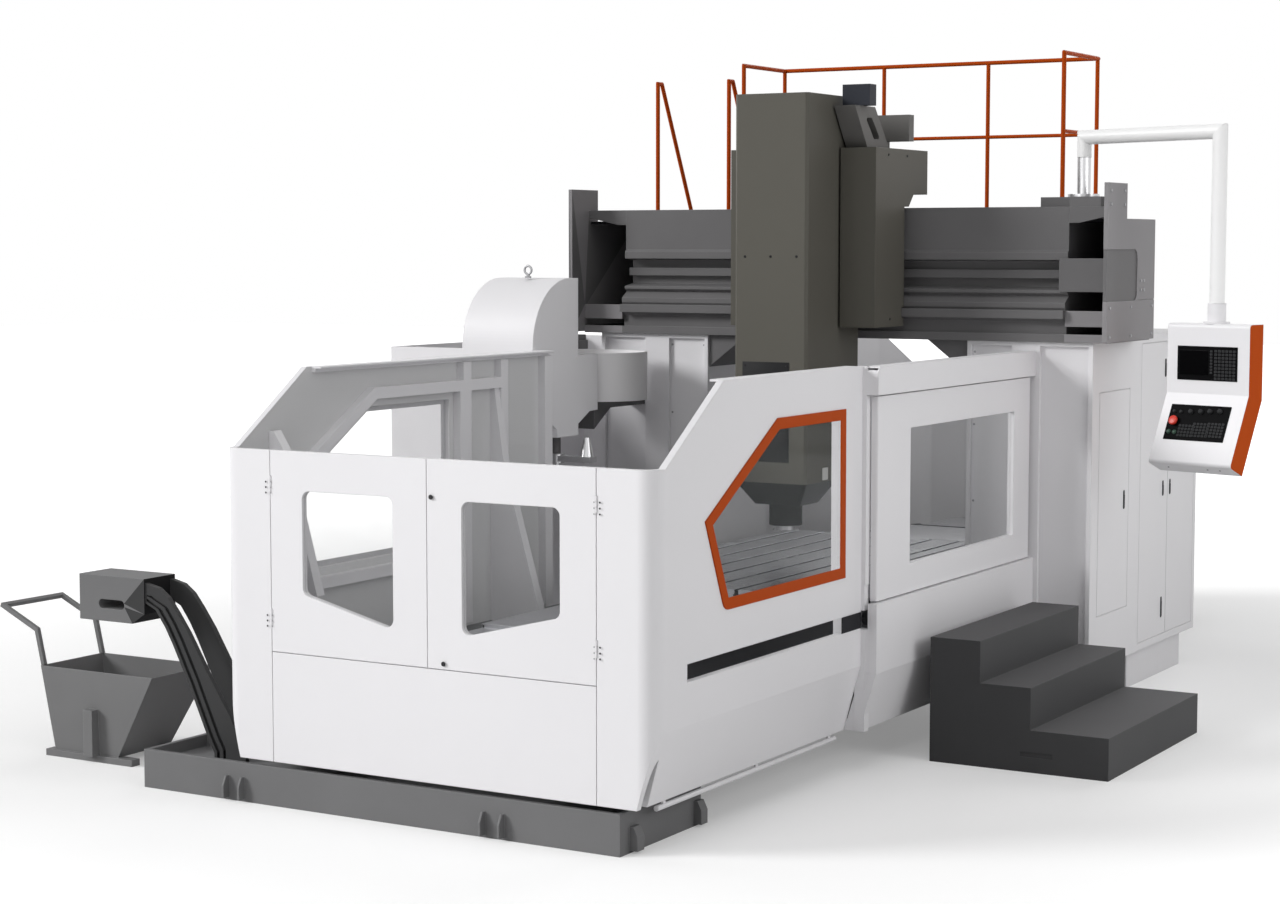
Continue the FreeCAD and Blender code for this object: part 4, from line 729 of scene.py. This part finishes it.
window_pane = clear_pane("window_pane")
for node in ("front_right_glass", "front_left_glass", "side_window_glass", "side_door_glass"):
    finish_node(node, window_pane, slot="window_glass")
LEAF_HINGE_X = 1.038
for side, body in ((1, "right_door"), (-1, "left_door")):
    leaf_dots = [(side * LEAF_HINGE_X, front_y, z) for z in hinge_z]
    fasteners(body + "_screws", leaf_dots, FRONT, bolt_steel, body,
              radius=0.0045, height=0.001)
LOCKS = ((0.032, 1.779), (0.106, 0.899))
LOCK_PROFILE = ((0.013, 0), (0.013, 0.003), (0.011, 0.005), (0.005, 0.005), (0.005, 0.003))
shape = shape_of()
for x, z in LOCKS:
    turned(shape, LOCK_PROFILE, (x, front_y, z), FRONT, sides=20)
make("right_door_locks", shape, latch_plastic, "right_door")

# Side windows
# Five-cornered frames of orange sheet hold the panes from outside. Their inner faces are white.
orange_coat = powder_coat("orange_coat", (0.43, 0.06, 0.004), rough=0.4, shine=0.04, low_dust=0.0)


def window_finish(middle, way):
    """Orange outside, and white toward the working space."""
    inward = way.x * middle.x < -0.5
    return 0 if not inward and (abs(way.x) > 0.5 or middle.x > 0) else 1


finish_node("side_window_frames", orange_coat, white_coat, choose=window_finish, slot="orange_paint")

# Side doorway and sliding door
# The operator's door hangs from a track inside the white header and is led by a roller in the
# slot of the front guard. Its pane sits in a folded rim.
finish_node("side_doorway", white_coat, slot="white_sheet")
SLOT_TOP = 0.97
SLOT_MID = 0.913
SLOT_HALF = 0.047
# A thin black strip on the guard's outer face carries the slot on to the guard's rear end: a dark sheet that
# paints the shade of an open slot.
SHADE_STRIP_LONG = 0.262
SHADE_STRIP_END = 0.004
SHADE_STRIP_SEAT = 0.0005
SHADE_STRIP_PROUD = 0.0025
slot_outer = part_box("right_front_guard")[1]
shape = shape_of()
slab(shape, rounded(slot_outer.y - SHADE_STRIP_LONG, slot_outer.y - SHADE_STRIP_END,
                    SLOT_MID - SLOT_HALF, SLOT_MID + SLOT_HALF, 0.002),
     slot_outer.x + SHADE_STRIP_SEAT, slot_outer.x + SHADE_STRIP_PROUD, "x")
make("slot_shade_strip", shape, black_rubber, "machine")


def door_finish(middle, way):
    """The roller in the slot is dark, the door above it white."""
    return 1 if middle.z < SLOT_TOP else 0


finish_node("side_door", white_coat, latch_plastic, choose=door_finish, slot="white_sheet")

# Chip trough and conveyor
# A grey welded trough across the front collects the chips. The hinged-belt conveyor climbs out of
# its left end between two curved side frames and drops them into the cart.
trough_enamel = cast_paint("trough_enamel", (0.18, 0.18, 0.183), rough=0.5, grain=0.25, shine=0.12)
conveyor_enamel = cast_paint("conveyor_enamel", (0.05, 0.05, 0.051), rough=0.45, grain=0.2, shine=0.1)
belt_black = cast_paint("belt_black", (0.02, 0.02, 0.021), rough=0.6, grain=0.2, shine=0.05)
finish_node("chip_trough", trough_enamel, slot="trough_grey")
HEAD_LONG = 0.42
HEAD_LOW = 0.9
head_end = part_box("chip_conveyor")[0].x + HEAD_LONG


def conveyor_finish(middle, way):
    """The head like the trough, darker side frames, and the black belt between them."""
    if middle.x < head_end and middle.z > HEAD_LOW:
        return 0
    return 1 if abs(way.y) > 0.5 or way.z > 0.2 else 2


finish_node("chip_conveyor", trough_enamel, conveyor_enamel, belt_black, choose=conveyor_finish,
            slot="trough_grey")

# Chip cart
# Welded sheet tub on a flat base, with a bent tube handle and a fork pocket in front.
cart_enamel = cast_paint("cart_enamel", (0.2, 0.2, 0.202), rough=0.5, grain=0.3, shine=0.12)
finish_node("chip_cart", cart_enamel, slot="trough_grey")

# Steps
# Three loose steps of folded sheet in charcoal grey lead up to the side door.
# The tops take a rougher tread coat. Every other face takes a darker charcoal than the tops, which is painted
# shade.
shaded_step_coat = powder_coat("shaded_step_coat", (0.062, 0.062, 0.064), rough=0.5, shine=0.1, low_dust=0.0)
tread_coat = powder_coat("tread_coat", (0.1, 0.099, 0.102), rough=0.6, shine=0.1, low_dust=0.0)


def step_finish(middle, way):
    return 1 if way.z > 0.9 else 0


finish_node("steps", shaded_step_coat, tread_coat, choose=step_finish, slot="charcoal")

# Platform and railing
# A service deck behind the beam top, with an orange tube railing welded together.
deck_enamel = cast_paint("deck_enamel", (0.12, 0.12, 0.123), rough=0.5)
finish_node("platform_deck", deck_enamel, slot="beam_grey")
finish_node("railing", orange_coat, slot="orange_paint")

# Tool magazine
# A closed white cover on the left column with the tool drum behind it. The arm below swaps tools.
drum_enamel = powder_coat("drum_enamel", (0.8, 0.79, 0.8), rough=0.4, shine=0.3, low_dust=0.0)
finish_node("magazine_cover", white_coat, slot="white_sheet")
finish_node("magazine_bracket", beam_enamel, slot="beam_grey")
finish_node("tool_drum", drum_enamel, slot="inner_sheet")
finish_node("tool_arm", rail_steel, slot="ground_steel")
EYE_X = -1.7
EYE_Y = -0.56
EYE_SHANK = ((0.022, 0), (0.022, 0.012), (0.012, 0.016), (0.012, 0.03))
RING_HIGH = 0.055
RING_R = 0.028
RING_SIDES = 20
WIRE_R = 0.008
WIRE_SIDES = 8
shape = shape_of()
eye = Vector((EYE_X, EYE_Y, cover_high.z))
turned(shape, EYE_SHANK, eye, UP, sides=20)
rings = []
for i in range(RING_SIDES):
    around = math.tau * i / RING_SIDES
    out = Vector((math.cos(around), 0, math.sin(around)))
    centre = eye + Vector((0, 0, RING_HIGH)) + out * RING_R
    ring = []
    for k in range(WIRE_SIDES):
        turn = math.tau * k / WIRE_SIDES
        ring.append(shape.verts.new(centre + out * WIRE_R * math.cos(turn)
                                    + Vector((0, WIRE_R * math.sin(turn), 0))))
    rings.append(ring)
for a, b in zip(rings, rings[1:] + rings[:1]):
    for k in range(WIRE_SIDES):
        after = (k + 1) % WIRE_SIDES
        shape.faces.new((a[k], a[after], b[after], b[k]))
make("magazine_eyebolt", shape, bolt_steel, "machine", smooth=60)

# Pendant arm
# A dark box and a turned swivel post stand on the beam. The white elbow tube swings on them.
tube_coat = powder_coat("tube_coat", (0.86, 0.86, 0.86), rough=0.3, shine=0.5, low_dust=0.0)
POST_BOX_TOP = 3.415


def post_finish(middle, way):
    """The box is painted like the beam, the turned post above it is bare steel."""
    return 1 if middle.z < POST_BOX_TOP + NEAR / 10 else 0


finish_node("arm_post", rail_steel, beam_enamel, choose=post_finish, slot="beam_grey")
finish_node("pendant_arm", tube_coat, slot="white_sheet")

# Control pendant
# The operator's panel: a folded white housing between orange cheeks, screen above, keys below.
PENDANT_AT = Vector((2.740, 0.626, 0.0))
PENDANT_TURN = math.radians(-16)
PENDANT_HALF = 0.303
KNEE_Z = 2.155
KNEE_LEAN = math.radians(-24)
FACE_Y = -0.090
wide = Vector((math.cos(PENDANT_TURN), math.sin(PENDANT_TURN), 0))


def pendant_finish(middle, way):
    """Orange on the two cheeks' outer sides, white elsewhere."""
    cheek = abs((middle - PENDANT_AT).dot(wide)) > PENDANT_HALF - 0.01
    return 1 if cheek and abs(way.dot(wide)) > 0.9 else 0


finish_node("pendant", white_coat, orange_coat, choose=pendant_finish, slot="white_sheet")
middle_line = Matrix.Translation(PENDANT_AT) @ Matrix.Rotation(PENDANT_TURN, 4, "Z")
upper = middle_line @ Matrix.Translation((0, FACE_Y, 0))
lower = upper @ Matrix.Translation((0, 0, KNEE_Z)) @ Matrix.Rotation(KNEE_LEAN, 4, "X")
panel_black = cast_paint("panel_black", (0.004, 0.004, 0.0045), rough=0.4, grain=0.05, shine=0.02)
key_grey = cast_paint("key_grey", (0.035, 0.036, 0.038), rough=0.5, grain=0.05, shine=0.05)
display_glass = cast_paint("display_glass", (0.001, 0.001, 0.0013), rough=0.15, grain=0.0, shine=0.03)
stop_red = cast_paint("stop_red", (0.62, 0.03, 0.012), rough=0.3, grain=0.05, shine=0.4)
start_green = cast_paint("start_green", (0.012, 0.05, 0.028), rough=0.35, grain=0.05, shine=0.3)
PROUD = 0.003


def flat(shape, place, x0, x1, z0, z1, proud, r=0.003):
    """Adds a thin round-cornered plate on one face of the pendant."""
    slab(shape, rounded(x0, x1, z0, z1, r, 3), -proud, 0.0, "y", place)


def grid(shape, place, x0, x1, z0, z1, columns, rows, share=0.7):
    """Adds rows and columns of small keys."""
    wide, tall = (x1 - x0) / columns, (z1 - z0) / rows
    for i in range(columns):
        for j in range(rows):
            x, z = x0 + wide * i, z0 + tall * j
            flat(shape, place, x, x + wide * share, z, z + tall * share, PROUD + 0.003, 0.002)


FOOT_Z = -0.4795
FOOT_SCREWS = ((-0.19, -0.07), (0.10, -0.07), (0.19, -0.07))
underside = lower @ Matrix.Translation((0, 0, FOOT_Z)) @ Matrix.Rotation(math.radians(90), 4, "X")
spots = [underside @ Vector((x, 0, z)) for x, z in FOOT_SCREWS]
down = (underside.to_3x3() @ Vector(FRONT))[:]
fasteners("pendant_underside_screws", spots, down, latch_plastic, "pendant",
          radius=0.006, height=0.002)
UPPER_PANEL = (-0.225, 0.217, 2.241, 2.458)
LOWER_PANEL = (-0.238, 0.204, -0.318, -0.078)
shape = shape_of()
flat(shape, upper, *UPPER_PANEL, PROUD)
flat(shape, lower, *LOWER_PANEL, PROUD)
make("pendant_panels", shape, panel_black, "pendant")
DISPLAY = (-0.211, 0.009, 2.272, 2.432)
shape = shape_of()
flat(shape, upper, *DISPLAY, PROUD + 0.001)
make("pendant_display", shape, display_glass, "pendant")
UPPER_KEYS = ((0.018, 0.042, 2.285, 2.440, 1, 8), (0.050, 0.211, 2.248, 2.444, 6, 9))
LOWER_KEYS = ((-0.144, -0.025, -0.294, -0.207, 5, 4), (-0.040, 0.087, -0.292, -0.192, 5, 5),
              (0.066, 0.192, -0.289, -0.186, 5, 5))
shape = shape_of()
for block in UPPER_KEYS:
    grid(shape, upper, *block)
for block in LOWER_KEYS:
    grid(shape, lower, *block)
make("pendant_keys", shape, key_grey, "pendant")
KNOB = ((0.0155, 0.0), (0.0155, 0.012), (0.012, 0.020), (0.0, 0.020001))
KNOBS = ((-0.202, -0.128, 0.7), (-0.152, -0.130, 0.7), (-0.079, -0.126, 1), (-0.006, -0.123, 1),
         (0.061, -0.119, 1), (0.132, -0.115, 1))
GRIP_HALF_X = 0.002
GRIP_HALF_Z = 0.013
GRIP_HIGH = 0.026
shape = shape_of()
for x, z, size in KNOBS:
    profile = [(r * size + 0.0001, h * size) for r, h in KNOB]
    turned(shape, profile, (x, -PROUD, z), FRONT, sides=20, place=lower)
    bar(shape, (x - GRIP_HALF_X, -PROUD - GRIP_HIGH * size, z - GRIP_HALF_Z * size),
        (x + GRIP_HALF_X, -PROUD, z + GRIP_HALF_Z * size), 0.0005, lower)
make("pendant_knobs", shape, key_grey, "pendant")
STOP_AT = (-0.185, -0.194)
STOP_PROFILE = ((0.017, 0), (0.017, 0.014), (0.031, 0.016), (0.031, 0.024), (0.026, 0.031), (0.012, 0.034))
shape = shape_of()
turned(shape, STOP_PROFILE, (STOP_AT[0], -PROUD, STOP_AT[1]), FRONT, sides=28, place=lower)
make("pendant_stop_button", shape, stop_red, "pendant")
START_AT = ((-0.209, -0.265), (-0.166, -0.267))
START_PROFILE = ((0.015, 0), (0.015, 0.004), (0.011, 0.006), (0.011, 0.010), (0.008, 0.011))
shape = shape_of()
for x, z in START_AT:
    turned(shape, START_PROFILE, (x, -PROUD, z), FRONT, sides=20, place=lower)
make("pendant_start_buttons", shape, start_green, "pendant")

# Floor, light and camera
# A plain white floor that keeps the soft shadow, soft suns from the left, front, rear and right, two
# wide screens in front of the guard and to its right, and the camera where the picture was taken.


def shown_rays(place):
    """1 for rays that show the picture's own background, straight or in metal and glass."""
    seen = place.node("ShaderNodeLightPath", output="Is Camera Ray")
    ways = seen.output.node.outputs
    return (seen + Socket(place.tree, ways["Is Glossy Ray"])
            + Socket(place.tree, ways["Is Transmission Ray"])).clamped()


FLOOR_COLOUR = 0.72
FLOOR_LIFT = 0.24
FADE_FROM = 0.45
FADE_OVER = 9.0
FADE_LIFT = 0.6
FLOOR_HALF = 60.0
material, place = start_finish("studio_floor")
reach = place.node("ShaderNodeVectorMath", {"operation": "LENGTH"}, {0: place}, "Value")
fade = (reach * (1 / FADE_OVER) - FADE_FROM).clamped()
lift = shown_rays(place) * (fade * FADE_LIFT + FLOOR_LIFT)
close_finish(place, {"Base Color": (FLOOR_COLOUR, FLOOR_COLOUR, FLOOR_COLOUR, 1), "Roughness": 0.8,
                     "Specular IOR Level": 0.0, "Emission Color": lift, "Emission Strength": 1.0})
floor_mesh = bpy.data.meshes.new("studio_floor")
floor_mesh.from_pydata([(-FLOOR_HALF, -FLOOR_HALF, 0), (FLOOR_HALF, -FLOOR_HALF, 0),
                        (FLOOR_HALF, FLOOR_HALF, 0), (-FLOOR_HALF, FLOOR_HALF, 0)], [], [(0, 1, 2, 3)])
floor_mesh.materials.append(material)
floor = bpy.data.objects.new("studio_floor", floor_mesh)
bpy.context.scene.collection.objects.link(floor)

AMBIENT = 0.15
world = bpy.data.worlds.new("studio")
bpy.context.scene.world = world
world.use_nodes = True
world.node_tree.nodes.clear()
sky = Socket(world.node_tree)
light = sky.node("ShaderNodeBackground", inputs={"Color": (1, 1, 1, 1),
                                                 "Strength": shown_rays(sky) * (1 - AMBIENT) + AMBIENT})
sky.node("ShaderNodeOutputWorld", inputs={"Surface": light}, output=None)


def place_lamp(name, lamp, towards, where=(0, 0, 0)):
    holder = bpy.data.objects.new(name, lamp)
    holder.location = where
    holder.rotation_mode = "QUATERNION"
    holder.rotation_quaternion = Vector(towards).to_track_quat("Z", "Y")
    bpy.context.scene.collection.objects.link(holder)


def soft_sun(name, towards, level, spread):
    """Broad lamp far off; a face turned square to it renders at its own colour times level."""
    lamp = bpy.data.lights.new(name, "SUN")
    lamp.energy = level * math.pi
    lamp.angle = math.radians(spread)
    place_lamp(name, lamp, towards)


def soft_box(name, where, target, level, wide, high):
    """Lit screen; a face at the target, square to it, renders at its own colour times level."""
    lamp = bpy.data.lights.new(name, "AREA")
    lamp.shape = "RECTANGLE"
    lamp.size = wide
    lamp.size_y = high
    towards = Vector(where) - Vector(target)
    lamp.energy = level * math.pi ** 2 * towards.length_squared
    place_lamp(name, lamp, towards, where)


soft_sun("key_light", (-0.70, -0.56, 0.42), level=0.72, spread=20)
soft_sun("front_light", (0.1, -0.5, 0.86), level=0.16, spread=50)
soft_sun("back_light", (0.1, 0.85, 0.5), level=0.25, spread=40)
soft_box("front_screen", (-1.0, -9.0, 3.4), (-0.2, -1.97, 1.3), level=0.10, wide=3.4, high=2.2)
soft_box("right_screen", (7.2, -1.4, 3.1), (1.38, -0.4, 1.4), level=0.22, wide=3.6, high=2.6)
soft_sun("right_light", (0.85, -0.2, 0.5), level=0.15, spread=40)

CAMERA_AT = (7.418, -14.53, 3.1)
CAMERA_DOWN = 4.88
CAMERA_TURN = 30.5
camera_data = bpy.data.cameras.new("camera")
camera_data.lens = 68.3
camera_data.sensor_width = 36.0
camera_data.clip_end = 200.0
camera = bpy.data.objects.new("camera", camera_data)
camera.location = CAMERA_AT
camera.rotation_euler = (math.radians(90 - CAMERA_DOWN), 0, math.radians(CAMERA_TURN))
bpy.context.scene.collection.objects.link(camera)
bpy.context.scene.camera = camera
bpy.context.scene.view_settings.view_transform = "Standard"
